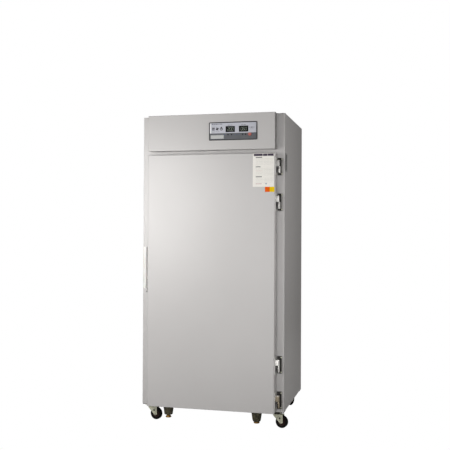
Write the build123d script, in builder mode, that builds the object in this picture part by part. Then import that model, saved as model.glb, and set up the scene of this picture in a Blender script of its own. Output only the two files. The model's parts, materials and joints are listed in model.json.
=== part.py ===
"""Dry heat sterilizer: a free-standing double-walled cabinet on swivel casters.

The frame is +Z up. The origin is on the floor, at the centre of the outline in plan.
The door is at the front, towards -Y, and hangs on the right, at +X. Millimetres.
"""
from build123d import *
import os
from math import cos, radians, sin

os.makedirs("parts", exist_ok=True)

# ---- cabinet ----
CABINET_WIDTH = 900.0
CABINET_DEPTH = 700.0
CABINET_HEIGHT = 1800.0
SHEET = 1.5
FLANGE = 18.0
SLIP = 0.2  # gap left between pieces that slide together when assembled
PAST = 1.0  # how far a cut, or the root of a joined bar, runs past a face
BASE_HEIGHT = 40.0
BASE_WALL = 3.0
CROSS_SPACING = 300.0
GUSSET_SIZE = 90.0
GUSSET_THICKNESS = 5.0
DECK_LIP = 15.0

# ---- chamber, set by the walls round it ----
SIDE_WALL = 105.0  # from the casing's outside to the chamber
REAR_WALL = 80.0
FLOOR_WALL = 100.0
ROOF_WALL = 100.0  # from the chamber's roof to the machine room's floor
LINER_FLANGE = 15.0
MACHINE_ROOM = 220.0  # height of the compartment over the chamber

# ---- door ----
DOOR_MARGIN = 50.0  # front frame left bare at each side of the door
DOOR_PROUD = 60.0
DOOR_CORNER = 4.0
GASKET_THICKNESS = 8.0
GASKET_WIDTH = 20.0
GASKET_INSET = 10.0  # from the chamber's mouth to the seal
SEAL_GAP = 0.3
PLUG_DEPTH = 20.0
PLUG_CLEARANCE = 10.0
CARD_WIDTH = 130.0
CARD_HEIGHT = 200.0
CARD_MARGIN = 3.0
CARD_THICKNESS = 1.0

# ---- hinges ----
HINGE_HEIGHT = 104.0
HINGES_UP = (72.0, 285.0)  # centres above the door's lower edge
HINGES_DOWN = (293.0, 79.0)  # centres below the door's upper edge
HINGE_LEAF = 4.0
HINGE_OFFSET = 21.0  # pin axis beyond the door's edge
HINGE_AXIS_PROUD = 34.0  # pin axis in front of the frame
KNUCKLE_RADIUS = 8.0
UPPER_KNUCKLE = 34.0
LOWER_KNUCKLE = 40.0
PIN_RADIUS = 5.0
PIN_HEAD_RADIUS = 7.0
PIN_HEAD_HEIGHT = 3.0
DOOR_LEAF_DEPTH = 40.0
FRAME_LEAF_WIDTH = 32.0
HINGE_WEB = 8.0
RUNNING = 0.05  # radial clearance of a turning or sliding fit
AXIAL_GAP = 0.3
SCREW_MARGIN = 8.0  # from a leaf's edge to the screw's centre
SCREW_HEAD_RADIUS = 4.0
SCREW_HEAD_HEIGHT = 1.5
SCREW_RADIUS = 2.0

# ---- door handle ----
GRIP_WIDTH = 23.0
GRIP_DEPTH = 24.0
GRIP_LENGTH = 256.0
GRIP_RISE = 731.0  # grip's lower end above the door's lower edge
GRIP_PROUD = 8.0  # grip's front beyond the door's front
GRIP_STANDOFF = 4.5  # grip's side off the door's edge
GRIP_ROUND = 7.0
HANDLE_AXIS_RISE = 20.0  # pivot above the grip's lower end
HANDLE_AXIS_PROUD = 34.0  # pivot in front of the frame
HANDLE_BARREL_RADIUS = 9.0
HANDLE_BARREL_INSET = 3.0  # barrel's outer end inside the grip's side
HANDLE_PIN_RADIUS = 4.0
HANDLE_PIN_HEAD = 2.0  # head's lip beyond the pin
HANDLE_PLATE = 4.0
HANDLE_PLATE_HEIGHT = 60.0
HANDLE_PLATE_DEPTH = 34.0
HANDLE_PULL = 25.0  # degrees
HEEL_RADIUS = 4.0
HEEL_ROOT_RADIUS = 6.0
STRIKE_THICKNESS = 4.0
STRIKE_WIDTH = 26.0
STRIKE_HEIGHT = 96.0

# ---- control cover and panel ----
COVER_HEIGHT = 220.0
COVER_GAP = 25.0  # between the door's top edge and the cover
COVER_LIP = 12.0
COVER_LEDGE = 20.0  # front frame's ledge behind the cover's edges
BEZEL_WIDTH = 299.0
BEZEL_HEIGHT = 111.0
BEZEL_LEFT = -7.0
BEZEL_RISE = 56.0  # bezel's lower edge above the cover's lower edge
BEZEL_RIM = 5.5
BEZEL_THICKNESS = 5.0
FASCIA_THICKNESS = 2.5
PANEL_MARGIN = 14.0  # fascia's lap on the cover round the cut-out
DISPLAY_WIDTH = 58.0
DISPLAY_HEIGHT = 36.0
DISPLAY_RUNS = (133.0, 215.5)  # centres from the bezel's left edge
DISPLAY_RISE = 67.5  # above the bezel's lower edge
KEY_RUNS = (119.0, 141.0, 210.0, 228.0)  # centres from the bezel's left edge
KEY_WIDTH = 8.0
KEY_HEIGHT = 9.0
KEY_RISE = 34.0
KEY_PROUD = 1.5
LAMP_RUNS = (97.5, 167.0, 187.0, 275.0)
LAMP_RADIUS = 2.0
POWER_RUN = 254.0
POWER_RADIUS = 10.0
POWER_PROUD = 4.5
BUTTON_GAP = 0.3
BUTTON_DEPTH = 8.0  # cap's length behind the fascia's front
BUTTON_TRAVEL = 1.5
STEM_RADIUS = 2.5
STEM_LENGTH = 6.0
BOARD_THICKNESS = 1.6
SWITCH_HEIGHT = 4.0
SWITCH_SIZE = 12.0
POST_RADIUS = 3.0

# ---- fan, heaters and probe ----
FAN_FROM_REAR = 290.0  # fan axis in front of the chamber's back wall
FAN_RADIUS = 130.0
FAN_HEIGHT = 45.0
FAN_DROP = 7.0  # impeller's top under the chamber's roof
FAN_BLADES = 12
FAN_BLADE_LENGTH = 43.0
FAN_BLADE_GAP = 1.0  # from the blade's tip to the rim of the back plate
FAN_PLATE = 3.0
FAN_HUB_RADIUS = 20.0
SHAFT_RADIUS = 8.0
SHAFT_HOLE_RADIUS = 16.0
MOTOR_RADIUS = 60.0
MOTOR_HEIGHT = 130.0
MOTOR_FLANGE = 150.0
MOTOR_FLANGE_THICKNESS = 6.0
SHAFT_IN_MOTOR = 70.0
BAFFLE_DROP = 13.5  # baffle's upper face under the impeller
BAFFLE_SIDE_GAP = 45.0
BAFFLE_FRONT_GAP = 10.0  # behind the door's plug
BAFFLE_REAR_GAP = 10.0
BAFFLE_EYE_RADIUS = 95.0
HANGER_WIDTH = 40.0
HANGER_SETBACK = 80.0
HEATER_SPREADS = (20.0, 42.0)  # rings' centre lines beyond the impeller
HEATER_TUBE_RADIUS = 5.0
TERMINAL_RADIUS = 6.0
HEATER_DROP = 28.0
TERMINAL_RISE = 25.0
PROBE_INSET = 23.0
PROBE_RADIUS = 3.0
PROBE_REACH = 90.0
PROBE_HEAD_RADIUS = 8.0
PROBE_HEAD_HEIGHT = 12.0

# ---- air inlet and exhaust ----
INLET_WIDTH = 80.0
INLET_HEIGHT = 112.0
INLET_DROP = 32.0  # inlet's lower edge under the chamber's roof
INLET_RIM = 8.0
INLET_BOX_DEPTH = 50.0
INLET_SLATS = 9
INLET_PIPE_RADIUS = 9.0
INLET_PIPE_DROP = 12.0  # pipe's axis under the chamber's roof
EXHAUST_X = -200.0
EXHAUST_FROM_REAR = 140.0
EXHAUST_RADIUS = 30.0
EXHAUST_BEND = 60.0
EXHAUST_RISE = 110.0  # outlet's axis above the machine room's floor
SPIGOT_LENGTH = 35.0
SPIGOT_GRIP = 10.0  # spigot's length beyond its bead
BEAD_RADIUS = 32.0
BEAD_WIDTH = 2.5
DAMPER_GAP = 0.7
DAMPER_THICKNESS = 2.0
DAMPER_SHAFT_RADIUS = 3.0
DAMPER_KNOB_RADIUS = 10.0
DAMPER_KNOB_GAP = 1.5  # between the knob and the rear panel
DAMPER_KNOB_HEIGHT = 10.0
LOUVRE_COUNT = 8
LOUVRE_LENGTH = 160.0
LOUVRE_HEIGHT = 5.0
LOUVRE_PITCH = 15.0
LOUVRE_X = 180.0
LOUVRE_RISE = 60.0
GLAND_FROM_SIDE = 90.0  # gland's axis in from the left side
GLAND_RISE = 20.0
GLAND_RADIUS = 12.0
GLAND_BORE = 6.0
GLAND_LENGTH = 22.0
GLAND_NUT_RADIUS = 15.0
GLAND_NUT_LENGTH = 7.0

# ---- shelves ----
SHELF_COUNT = 4
SHELF_HEADROOM = 70.0  # kept under the chamber's roof for the baffle and the fan
RIM_RADIUS = 4.0
CROSS_BAR_RADIUS = 3.0
WIRE_RADIUS = 2.0
WIRE_COUNT = 21
CROSS_BARS = 3
SHELF_FRONT_GAP = 12.0  # behind the door's plug
SHELF_REAR_GAP = 22.0
POST_DEPTH = 10.0
POST_WIDTH = 20.0
POST_FRONT_SETBACK = 80.0
POST_REAR_SETBACK = 70.0
POST_BOTTOM_GAP = 12.0
POST_TOP_GAP = 80.0
SLOT_WIDTH = 10.0
SLOT_HEIGHT = 6.0
SLOTS_PER_SHELF = 3
CLIP_REACH = 11.0
CLIP_TONGUE = 4.0
CLIP_THICKNESS = 3.0

# ---- casters ----
CASTER_INSET = 50.0  # swivel axis from the cabinet's side
CASTER_SETBACK = 38.0  # swivel axis from the cabinet's front and back
CASTER_TRAIL = 33.0
WHEEL_DIAMETER = 75.0
WHEEL_HEADROOM = 5.0  # from the wheel's top to the fork's crown
WHEEL_WIDTH = 24.0
WHEEL_SIDE_GAP = 1.5
WHEEL_ROUND = 5.0
HUB_RADIUS = 13.0
AXLE_RADIUS = 4.0
AXLE_NUT_RADIUS = 7.0
AXLE_NUT_LENGTH = 4.5
FORK_SHEET = 3.0
FORK_TOP_LENGTH = 60.0
FORK_FOOT_RADIUS = 10.0
CROWN_RADIUS = 27.0
CROWN_DROP = 17.0  # crown's top under the mounting plate's top
RACE_RADIUS = 24.0
KINGPIN_RADIUS = 6.0
KINGPIN_NUT_RADIUS = 10.0
KINGPIN_NUT_HEIGHT = 5.0
PLATE_THICKNESS = 4.0
PLATE_LENGTH = 98.0
PLATE_WIDTH = 62.0
PLATE_HOLES_ACROSS = 56.0
PLATE_HOLES_DEEP = 44.0
BOLT_RADIUS = 4.0
BOLT_HEAD_RADIUS = 6.5
BOLT_HEAD_HEIGHT = 5.0
BOLT_LENGTH = 18.0
BOLT_SLIP = 0.2
# directions in which the wheels trail, in degrees from +X
CASTER_TURNS = {"front_left": -10.0, "front_right": -10.0, "rear_left": 170.0, "rear_right": -117.0}

# ---- levelling feet ----
FOOT_INSET = 169.0
FOOT_SETBACK = 12.0
FOOT_TOP_RADIUS = 33.5
FOOT_LOW_RADIUS = 25.5
FOOT_LOW_ROUND = 4.0
FOOT_TOP_PLATE = 3.0
FOOT_HOUSING_HEIGHT = 58.0
FOOT_COLLAR_RADIUS = 14.0
FOOT_COLLAR_HEIGHT = 3.0
FOOT_PAD_RADIUS = 18.0
FOOT_PAD_THICKNESS = 12.4
FOOT_PAD_ROUND = 2.5
FOOT_PAD_GAP = 3.6  # between the pad and the collar
FOOT_STUD_RADIUS = 8.0
FOOT_STUD_LENGTH = 54.0

# ---- levels and planes worked out from the sizes above ----
HALF_WIDTH = CABINET_WIDTH / 2
BODY_LOW = WHEEL_DIAMETER + WHEEL_HEADROOM + FORK_SHEET + CROWN_DROP
BODY_HIGH = BODY_LOW + CABINET_HEIGHT
FRONT_Y = (DOOR_PROUD + GRIP_PROUD - CABINET_DEPTH - SPIGOT_LENGTH) / 2
REAR_Y = FRONT_Y + CABINET_DEPTH
PANEL_IN = HALF_WIDTH - SHEET
GLAND_X = GLAND_FROM_SIDE - HALF_WIDTH
INNER_X = PANEL_IN - SLIP
INNER_FRONT = FRONT_Y + 2 * SHEET + SLIP
INNER_REAR = REAR_Y - 2 * SHEET - SLIP
BASE_TOP = BODY_LOW + BASE_HEIGHT
PAN_TOP = BASE_TOP + SHEET
DECK_TOP = BODY_HIGH - MACHINE_ROOM
DECK_LOW = DECK_TOP - SHEET
CHAMBER_X = HALF_WIDTH - SIDE_WALL
CHAMBER_LOW = BODY_LOW + FLOOR_WALL
CHAMBER_HIGH = DECK_TOP - ROOF_WALL
CHAMBER_REAR = REAR_Y - REAR_WALL
LINER_HIGH = CHAMBER_HIGH + SHEET
LINER_FRONT = FRONT_Y + SHEET
DOOR_X = HALF_WIDTH - DOOR_MARGIN
COVER_LOW = BODY_HIGH - COVER_HEIGHT
DOOR_LOW = BODY_LOW
DOOR_HIGH = COVER_LOW - COVER_GAP
DOOR_FRONT = FRONT_Y - DOOR_PROUD
DOOR_BACK = FRONT_Y - GASKET_THICKNESS
HINGE_X = DOOR_X + HINGE_OFFSET
HINGE_Y = FRONT_Y - HINGE_AXIS_PROUD
FAN_Y = CHAMBER_REAR - FAN_FROM_REAR
PROBE_X = CHAMBER_X - PROBE_INSET
EXHAUST_Y = REAR_Y - EXHAUST_FROM_REAR
EXHAUST_Z = DECK_TOP + EXHAUST_RISE
INLET_LOW = CHAMBER_HIGH - INLET_DROP
INLET_PIPE_Z = CHAMBER_HIGH - INLET_PIPE_DROP
INLET_Y = INNER_FRONT + INLET_WIDTH / 2
WHEEL_RADIUS = WHEEL_DIAMETER / 2
FOOT_X = HALF_WIDTH - FOOT_INSET
FOOT_HOUSING_LOW = BODY_LOW - FOOT_HOUSING_HEIGHT
HINGE_HEIGHTS = [DOOR_LOW + rise for rise in HINGES_UP] + [DOOR_HIGH - drop for drop in HINGES_DOWN]
GRIP_BOTTOM = DOOR_LOW + GRIP_RISE
HEATER_RADII = [FAN_RADIUS + spread for spread in HEATER_SPREADS]
DISPLAY_CENTRES = [BEZEL_LEFT + run for run in DISPLAY_RUNS]
KEY_CENTRES = [BEZEL_LEFT + run for run in KEY_RUNS]
LAMP_CENTRES = [BEZEL_LEFT + run for run in LAMP_RUNS]
POWER_CENTRE = BEZEL_LEFT + POWER_RUN


def slab(low, high, mode=Mode.ADD):
    """Add or cut a block between two opposite corners."""
    size = [b - a for a, b in zip(low, high)]
    centre = tuple((a + b) / 2 for a, b in zip(low, high))
    with Locations(centre):
        Box(*size, mode=mode)


def rod(start, end, radius, mode=Mode.ADD):
    """Add or cut a round bar between the centres of its two ends."""
    path = Vector(*end) - Vector(*start)
    with Locations(Plane(origin=start, z_dir=path)):
        Cylinder(radius, path.length, align=(Align.CENTER, Align.CENTER, Align.MIN), mode=mode)


def rods(starts, reach, radius, mode=Mode.ADD):
    """Add or cut equal round bars along one direction, one from each start."""
    length = Vector(*reach).length
    with Locations(*[Plane(origin=start, z_dir=reach) for start in starts]):
        Cylinder(radius, length, align=(Align.CENTER, Align.CENTER, Align.MIN), mode=mode)


def slabs(centres, size, mode=Mode.ADD):
    """Add or cut equal blocks, one about each centre."""
    with Locations(*centres):
        Box(*size, mode=mode)


def save(builder, name):
    """Label a finished piece and write its STEP file."""
    builder.part.label = name
    export_step(builder.part, f"parts/{name}.step")


# ================= base =================
caster_places = {
    "front_left": (CASTER_INSET - HALF_WIDTH, FRONT_Y + CASTER_SETBACK),
    "front_right": (HALF_WIDTH - CASTER_INSET, FRONT_Y + CASTER_SETBACK),
    "rear_left": (CASTER_INSET - HALF_WIDTH, REAR_Y - CASTER_SETBACK),
    "rear_right": (HALF_WIDTH - CASTER_INSET, REAR_Y - CASTER_SETBACK),
}
foot_places = {
    "front_left": (-FOOT_X, FRONT_Y + FOOT_SETBACK, 1),
    "front_right": (FOOT_X, FRONT_Y + FOOT_SETBACK, 1),
    "rear_left": (-FOOT_X, REAR_Y - FOOT_SETBACK - FOOT_TOP_RADIUS, -1),
    "rear_right": (FOOT_X, REAR_Y - FOOT_SETBACK - FOOT_TOP_RADIUS, -1),
}
plate_holes = GridLocations(PLATE_HOLES_ACROSS, PLATE_HOLES_DEEP, 2, 2).locations
bolt_places = []
for place_x, place_y in caster_places.values():
    for spot in plate_holes:
        bolt_places.append((place_x + spot.position.X, place_y + spot.position.Y))

# a ring of folded channel, open inwards, with gussets at the corners and a pan on top
with BuildPart() as base_frame:
    slab((-INNER_X, INNER_FRONT, BODY_LOW), (INNER_X, INNER_REAR, PAN_TOP))
    slab(
        (-INNER_X + BASE_WALL, INNER_FRONT + BASE_WALL, BODY_LOW + BASE_WALL),
        (INNER_X - BASE_WALL, INNER_REAR - BASE_WALL, BASE_TOP),
        Mode.SUBTRACT,
    )
    slab(
        (-INNER_X + BASE_HEIGHT, INNER_FRONT + BASE_HEIGHT, BODY_LOW - PAST),
        (INNER_X - BASE_HEIGHT, INNER_REAR - BASE_HEIGHT, BASE_TOP),
        Mode.SUBTRACT,
    )
    for x_side in (-1, 1):
        for corner_y, inward in ((INNER_FRONT, 1), (INNER_REAR, -1)):
            gusset_x = sorted((x_side * INNER_X, x_side * (INNER_X - GUSSET_SIZE)))
            gusset_y = sorted((corner_y, corner_y + inward * GUSSET_SIZE))
            slab(
                (gusset_x[0], gusset_y[0], BODY_LOW),
                (gusset_x[1], gusset_y[1], BODY_LOW + GUSSET_THICKNESS),
            )
    for cross_x in (-CROSS_SPACING / 2, CROSS_SPACING / 2):
        slab(
            (cross_x - BASE_HEIGHT / 2, INNER_FRONT + BASE_WALL, BODY_LOW),
            (cross_x + BASE_HEIGHT / 2, INNER_REAR - BASE_WALL, BASE_TOP),
        )
        slab(
            (cross_x - BASE_HEIGHT / 2 + BASE_WALL, INNER_FRONT + BASE_HEIGHT, BODY_LOW - PAST),
            (cross_x + BASE_HEIGHT / 2 - BASE_WALL, INNER_REAR - BASE_HEIGHT, BASE_TOP - BASE_WALL),
            Mode.SUBTRACT,
        )
    rods(
        [(x, y, BODY_LOW - PAST) for x, y in bolt_places],
        (0, 0, GUSSET_THICKNESS + 2 * PAST),
        BOLT_RADIUS + BOLT_SLIP,
        Mode.SUBTRACT,
    )
save(base_frame, "base_frame")

# ================= casing =================
inlet_low_y = INLET_Y - INLET_WIDTH / 2 + INLET_RIM
inlet_high_y = INLET_Y + INLET_WIDTH / 2 - INLET_RIM
inlet_low_z = INLET_LOW + INLET_RIM
inlet_high_z = INLET_LOW + INLET_HEIGHT - INLET_RIM
for side, x_sign in (("left", -1), ("right", 1)):
    with BuildPart() as side_panel:
        with BuildSketch(Plane.XY.offset(BODY_LOW)) as panel_outline:
            with BuildLine():
                Polyline(
                    (x_sign * HALF_WIDTH, FRONT_Y + SHEET),
                    (x_sign * HALF_WIDTH, REAR_Y - SHEET),
                    (x_sign * (PANEL_IN - FLANGE), REAR_Y - SHEET),
                    (x_sign * (PANEL_IN - FLANGE), REAR_Y - 2 * SHEET),
                    (x_sign * PANEL_IN, REAR_Y - 2 * SHEET),
                    (x_sign * PANEL_IN, FRONT_Y + 2 * SHEET),
                    (x_sign * (PANEL_IN - FLANGE), FRONT_Y + 2 * SHEET),
                    (x_sign * (PANEL_IN - FLANGE), FRONT_Y + SHEET),
                    close=True,
                )
            make_face()
        extrude(amount=CABINET_HEIGHT - SHEET)
        if side == "right":
            slab(
                (PANEL_IN - PAST, inlet_low_y, inlet_low_z),
                (HALF_WIDTH + PAST, inlet_high_y, inlet_high_z),
                Mode.SUBTRACT,
            )
    save(side_panel, f"side_panel_{side}")

with BuildPart() as top_panel:
    slab((-HALF_WIDTH, FRONT_Y, BODY_HIGH - SHEET), (HALF_WIDTH, REAR_Y, BODY_HIGH))
save(top_panel, "top_panel")

with BuildPart() as rear_panel:
    slab((-HALF_WIDTH, REAR_Y - SHEET, BODY_LOW), (HALF_WIDTH, REAR_Y, BODY_HIGH - SHEET))
    louvre_heights = [DECK_TOP + LOUVRE_RISE + row * LOUVRE_PITCH for row in range(LOUVRE_COUNT)]
    slabs(
        [(LOUVRE_X, REAR_Y - SHEET / 2, height) for height in louvre_heights],
        (LOUVRE_LENGTH, 2 * SHEET, LOUVRE_HEIGHT),
        Mode.SUBTRACT,
    )
    rod(
        (EXHAUST_X, REAR_Y - SHEET - PAST, EXHAUST_Z),
        (EXHAUST_X, REAR_Y + PAST, EXHAUST_Z),
        EXHAUST_RADIUS + SLIP,
        Mode.SUBTRACT,
    )
    rod(
        (GLAND_X, REAR_Y - SHEET - PAST, DECK_TOP + GLAND_RISE),
        (GLAND_X, REAR_Y + PAST, DECK_TOP + GLAND_RISE),
        GLAND_RADIUS,
        Mode.SUBTRACT,
    )
save(rear_panel, "rear_panel")

with BuildPart() as front_frame:
    slab((-HALF_WIDTH, FRONT_Y, BODY_LOW), (HALF_WIDTH, FRONT_Y + SHEET, BODY_HIGH - SHEET))
    slab(
        (-CHAMBER_X, FRONT_Y - PAST, CHAMBER_LOW),
        (CHAMBER_X, FRONT_Y + SHEET + PAST, CHAMBER_HIGH),
        Mode.SUBTRACT,
    )
    slab(
        (-DOOR_X + COVER_LEDGE, FRONT_Y - PAST, COVER_LOW + COVER_LEDGE),
        (DOOR_X - COVER_LEDGE, FRONT_Y + SHEET + PAST, BODY_HIGH - COVER_LEDGE),
        Mode.SUBTRACT,
    )
save(front_frame, "front_frame")

# what rises from the chamber through its roof and the deck: place in plan and hole radius
roof_passages = [
    (0, FAN_Y, SHAFT_HOLE_RADIUS),
    (PROBE_X, FAN_Y, PROBE_RADIUS + SLIP),
    (EXHAUST_X, EXHAUST_Y, EXHAUST_RADIUS + SLIP),
]
for heater_radius in HEATER_RADII:
    for x_side in (-1, 1):
        roof_passages.append((x_side * heater_radius, FAN_Y, TERMINAL_RADIUS + SLIP))

# shared floor of the machine room, with an upturned lip at each side
with BuildPart() as machine_deck:
    slab((-INNER_X, INNER_FRONT, DECK_LOW), (INNER_X, INNER_REAR, DECK_TOP))
    for x_side in (-1, 1):
        lip_x = sorted((x_side * INNER_X, x_side * (INNER_X - SHEET)))
        slab((lip_x[0], INNER_FRONT, DECK_LOW), (lip_x[1], INNER_REAR, DECK_TOP + DECK_LIP))
    for hole_x, hole_y, hole_radius in roof_passages:
        rod(
            (hole_x, hole_y, DECK_LOW - PAST),
            (hole_x, hole_y, DECK_TOP + PAST),
            hole_radius,
            Mode.SUBTRACT,
        )
save(machine_deck, "machine_deck")

# ================= chamber =================
with BuildPart() as chamber_liner:
    slab(
        (-CHAMBER_X - SHEET, LINER_FRONT, CHAMBER_LOW - SHEET),
        (CHAMBER_X + SHEET, CHAMBER_REAR + SHEET, LINER_HIGH),
    )
    slab(
        (-CHAMBER_X - SHEET - LINER_FLANGE, LINER_FRONT, CHAMBER_LOW - SHEET - LINER_FLANGE),
        (CHAMBER_X + SHEET + LINER_FLANGE, LINER_FRONT + SHEET, LINER_HIGH + LINER_FLANGE),
    )
    slab(
        (-CHAMBER_X, LINER_FRONT - PAST, CHAMBER_LOW),
        (CHAMBER_X, CHAMBER_REAR, CHAMBER_HIGH),
        Mode.SUBTRACT,
    )
    for hole_x, hole_y, hole_radius in roof_passages:
        rod(
            (hole_x, hole_y, CHAMBER_HIGH - PAST),
            (hole_x, hole_y, LINER_HIGH + PAST),
            hole_radius,
            Mode.SUBTRACT,
        )
    rod(
        (CHAMBER_X - PAST, INLET_Y, INLET_PIPE_Z),
        (CHAMBER_X + SHEET + PAST, INLET_Y, INLET_PIPE_Z),
        INLET_PIPE_RADIUS + SLIP,
        Mode.SUBTRACT,
    )
save(chamber_liner, "chamber_liner")

# mineral wool that fills the space between the liner and the casing
with BuildPart() as chamber_insulation:
    slab((-INNER_X, INNER_FRONT, PAN_TOP), (INNER_X, INNER_REAR, DECK_LOW))
    slab(
        (-CHAMBER_X - SHEET, INNER_FRONT - PAST, CHAMBER_LOW - SHEET),
        (CHAMBER_X + SHEET, CHAMBER_REAR + SHEET, LINER_HIGH),
        Mode.SUBTRACT,
    )
    for hole_x, hole_y, hole_radius in roof_passages:
        rod((hole_x, hole_y, LINER_HIGH - PAST), (hole_x, hole_y, DECK_TOP), hole_radius, Mode.SUBTRACT)
    slab(
        (INNER_X - INLET_BOX_DEPTH - SLIP, inlet_low_y, inlet_low_z),
        (INNER_X + PAST, inlet_high_y, inlet_high_z),
        Mode.SUBTRACT,
    )
    rod(
        (CHAMBER_X, INLET_Y, INLET_PIPE_Z),
        (INNER_X, INLET_Y, INLET_PIPE_Z),
        INLET_PIPE_RADIUS + SLIP,
        Mode.SUBTRACT,
    )
save(chamber_insulation, "chamber_insulation")

# slotted uprights at the chamber's side walls, folded as channels
shelf_pitch = (CHAMBER_HIGH - SHELF_HEADROOM - CHAMBER_LOW) / (SHELF_COUNT + 1)
shelf_levels = [CHAMBER_LOW + shelf_pitch * (count + 1) for count in range(SHELF_COUNT)]
post_rows = (FRONT_Y + POST_FRONT_SETBACK, CHAMBER_REAR - POST_REAR_SETBACK)
slot_heights = []
for level in shelf_levels:
    for step in range(SLOTS_PER_SHELF):
        slot_top = level - RIM_RADIUS - step * shelf_pitch / SLOTS_PER_SHELF
        slot_heights.append(slot_top - SLOT_HEIGHT / 2)
with BuildPart() as shelf_posts:
    for x_side in (-1, 1):
        for post_y in post_rows:
            post_x = sorted((x_side * CHAMBER_X, x_side * (CHAMBER_X - POST_DEPTH)))
            slab(
                (post_x[0], post_y - POST_WIDTH / 2, CHAMBER_LOW + POST_BOTTOM_GAP),
                (post_x[1], post_y + POST_WIDTH / 2, CHAMBER_HIGH - POST_TOP_GAP),
            )
            hollow_x = sorted((x_side * (CHAMBER_X + PAST), x_side * (CHAMBER_X - POST_DEPTH + SHEET)))
            slab(
                (hollow_x[0], post_y - POST_WIDTH / 2 + SHEET, CHAMBER_LOW + POST_BOTTOM_GAP - PAST),
                (hollow_x[1], post_y + POST_WIDTH / 2 - SHEET, CHAMBER_HIGH - POST_TOP_GAP + PAST),
                Mode.SUBTRACT,
            )
            slot_face_x = x_side * (CHAMBER_X - POST_DEPTH)
            slabs(
                [(slot_face_x, post_y, height) for height in slot_heights],
                (2 * (SHEET + PAST), SLOT_WIDTH, SLOT_HEIGHT),
                Mode.SUBTRACT,
            )
save(shelf_posts, "shelf_posts")

clip_length = CLIP_REACH + CLIP_TONGUE
clip_x = CHAMBER_X - POST_DEPTH - CLIP_REACH + clip_length / 2
clip_centres = []
for x_side in (-1, 1):
    for post_y in post_rows:
        for level in shelf_levels:
            clip_z = level - RIM_RADIUS - CLIP_THICKNESS / 2
            clip_centres.append((x_side * clip_x, post_y, clip_z))
with BuildPart() as shelf_clips:
    slabs(clip_centres, (clip_length, SLOT_WIDTH - 2 * SLIP, CLIP_THICKNESS))
save(shelf_clips, "shelf_clips")

# wire racks: a heavy rim, bars from side to side and thin wires from front to back
shelf_rim_x = CHAMBER_X - POST_DEPTH - RIM_RADIUS - 2 * SLIP
shelf_front_y = FRONT_Y + PLUG_DEPTH + SHELF_FRONT_GAP
shelf_depth = CHAMBER_REAR - SHELF_REAR_GAP - shelf_front_y
bar_reach = 2 * shelf_rim_x + RIM_RADIUS
bar_pitch = (shelf_depth - 2 * RIM_RADIUS) / (CROSS_BARS + 1)
wire_pitch = 2 * shelf_rim_x / (WIRE_COUNT + 1)
rim_starts = []
bar_starts = []
wire_starts = []
for level in shelf_levels:
    for x_side in (-1, 1):
        rim_starts.append((x_side * shelf_rim_x, shelf_front_y, level))
    for bar in range(CROSS_BARS + 2):
        bar_starts.append((-bar_reach / 2, shelf_front_y + RIM_RADIUS + bar * bar_pitch, level))
    for wire in range(WIRE_COUNT):
        wire_x = (wire + 1) * wire_pitch - shelf_rim_x
        wire_starts.append((wire_x, shelf_front_y + RIM_RADIUS, level + WIRE_RADIUS))
with BuildPart() as wire_shelves:
    rods(rim_starts, (0, shelf_depth, 0), RIM_RADIUS)
    rods(bar_starts, (bar_reach, 0, 0), CROSS_BAR_RADIUS)
    rods(wire_starts, (0, shelf_depth - 2 * RIM_RADIUS, 0), WIRE_RADIUS)
save(wire_shelves, "wire_shelves")

# ================= fan, heaters, probe =================
fan_high = CHAMBER_HIGH - FAN_DROP
fan_low = fan_high - FAN_HEIGHT
shaft_high = DECK_TOP + MOTOR_FLANGE_THICKNESS + SHAFT_IN_MOTOR
baffle_z = fan_low - BAFFLE_DROP - SHEET
baffle_x = CHAMBER_X - BAFFLE_SIDE_GAP
with BuildPart() as air_baffle:
    slab(
        (-baffle_x, LINER_FRONT + PLUG_DEPTH + BAFFLE_FRONT_GAP, baffle_z),
        (baffle_x, CHAMBER_REAR - BAFFLE_REAR_GAP, baffle_z + SHEET),
    )
    rod((0, FAN_Y, baffle_z - PAST), (0, FAN_Y, baffle_z + SHEET + PAST), BAFFLE_EYE_RADIUS, Mode.SUBTRACT)
    for x_side in (-1, 1):
        for hanger_y in (LINER_FRONT + HANGER_SETBACK, CHAMBER_REAR - HANGER_SETBACK):
            hanger_x = sorted((x_side * baffle_x, x_side * (baffle_x - SHEET)))
            slab(
                (hanger_x[0], hanger_y - HANGER_WIDTH / 2, baffle_z),
                (hanger_x[1], hanger_y + HANGER_WIDTH / 2, CHAMBER_HIGH),
            )
save(air_baffle, "air_baffle")

with BuildPart() as fan_impeller:
    rod((0, FAN_Y, fan_high - FAN_PLATE), (0, FAN_Y, fan_high), FAN_RADIUS)
    rod((0, FAN_Y, fan_low), (0, FAN_Y, fan_high), FAN_HUB_RADIUS)
    rod((0, FAN_Y, fan_high - PAST), (0, FAN_Y, shaft_high), SHAFT_RADIUS)
    with Locations((0, FAN_Y, fan_low)):
        with PolarLocations(FAN_RADIUS - FAN_BLADE_GAP - FAN_BLADE_LENGTH / 2, FAN_BLADES):
            Box(
                FAN_BLADE_LENGTH,
                SHEET,
                FAN_HEIGHT - SHEET,
                align=(Align.CENTER, Align.CENTER, Align.MIN),
            )
save(fan_impeller, "fan_impeller")

with BuildPart() as fan_motor:
    slab(
        (-MOTOR_FLANGE / 2, FAN_Y - MOTOR_FLANGE / 2, DECK_TOP),
        (MOTOR_FLANGE / 2, FAN_Y + MOTOR_FLANGE / 2, DECK_TOP + MOTOR_FLANGE_THICKNESS),
    )
    motor_high = DECK_TOP + MOTOR_FLANGE_THICKNESS + MOTOR_HEIGHT
    rod((0, FAN_Y, DECK_TOP + PAST), (0, FAN_Y, motor_high), MOTOR_RADIUS)
    rod(
        (0, FAN_Y, DECK_TOP - PAST),
        (0, FAN_Y, shaft_high + AXIAL_GAP),
        SHAFT_RADIUS + RUNNING,
        Mode.SUBTRACT,
    )
save(fan_motor, "fan_motor")

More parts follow.
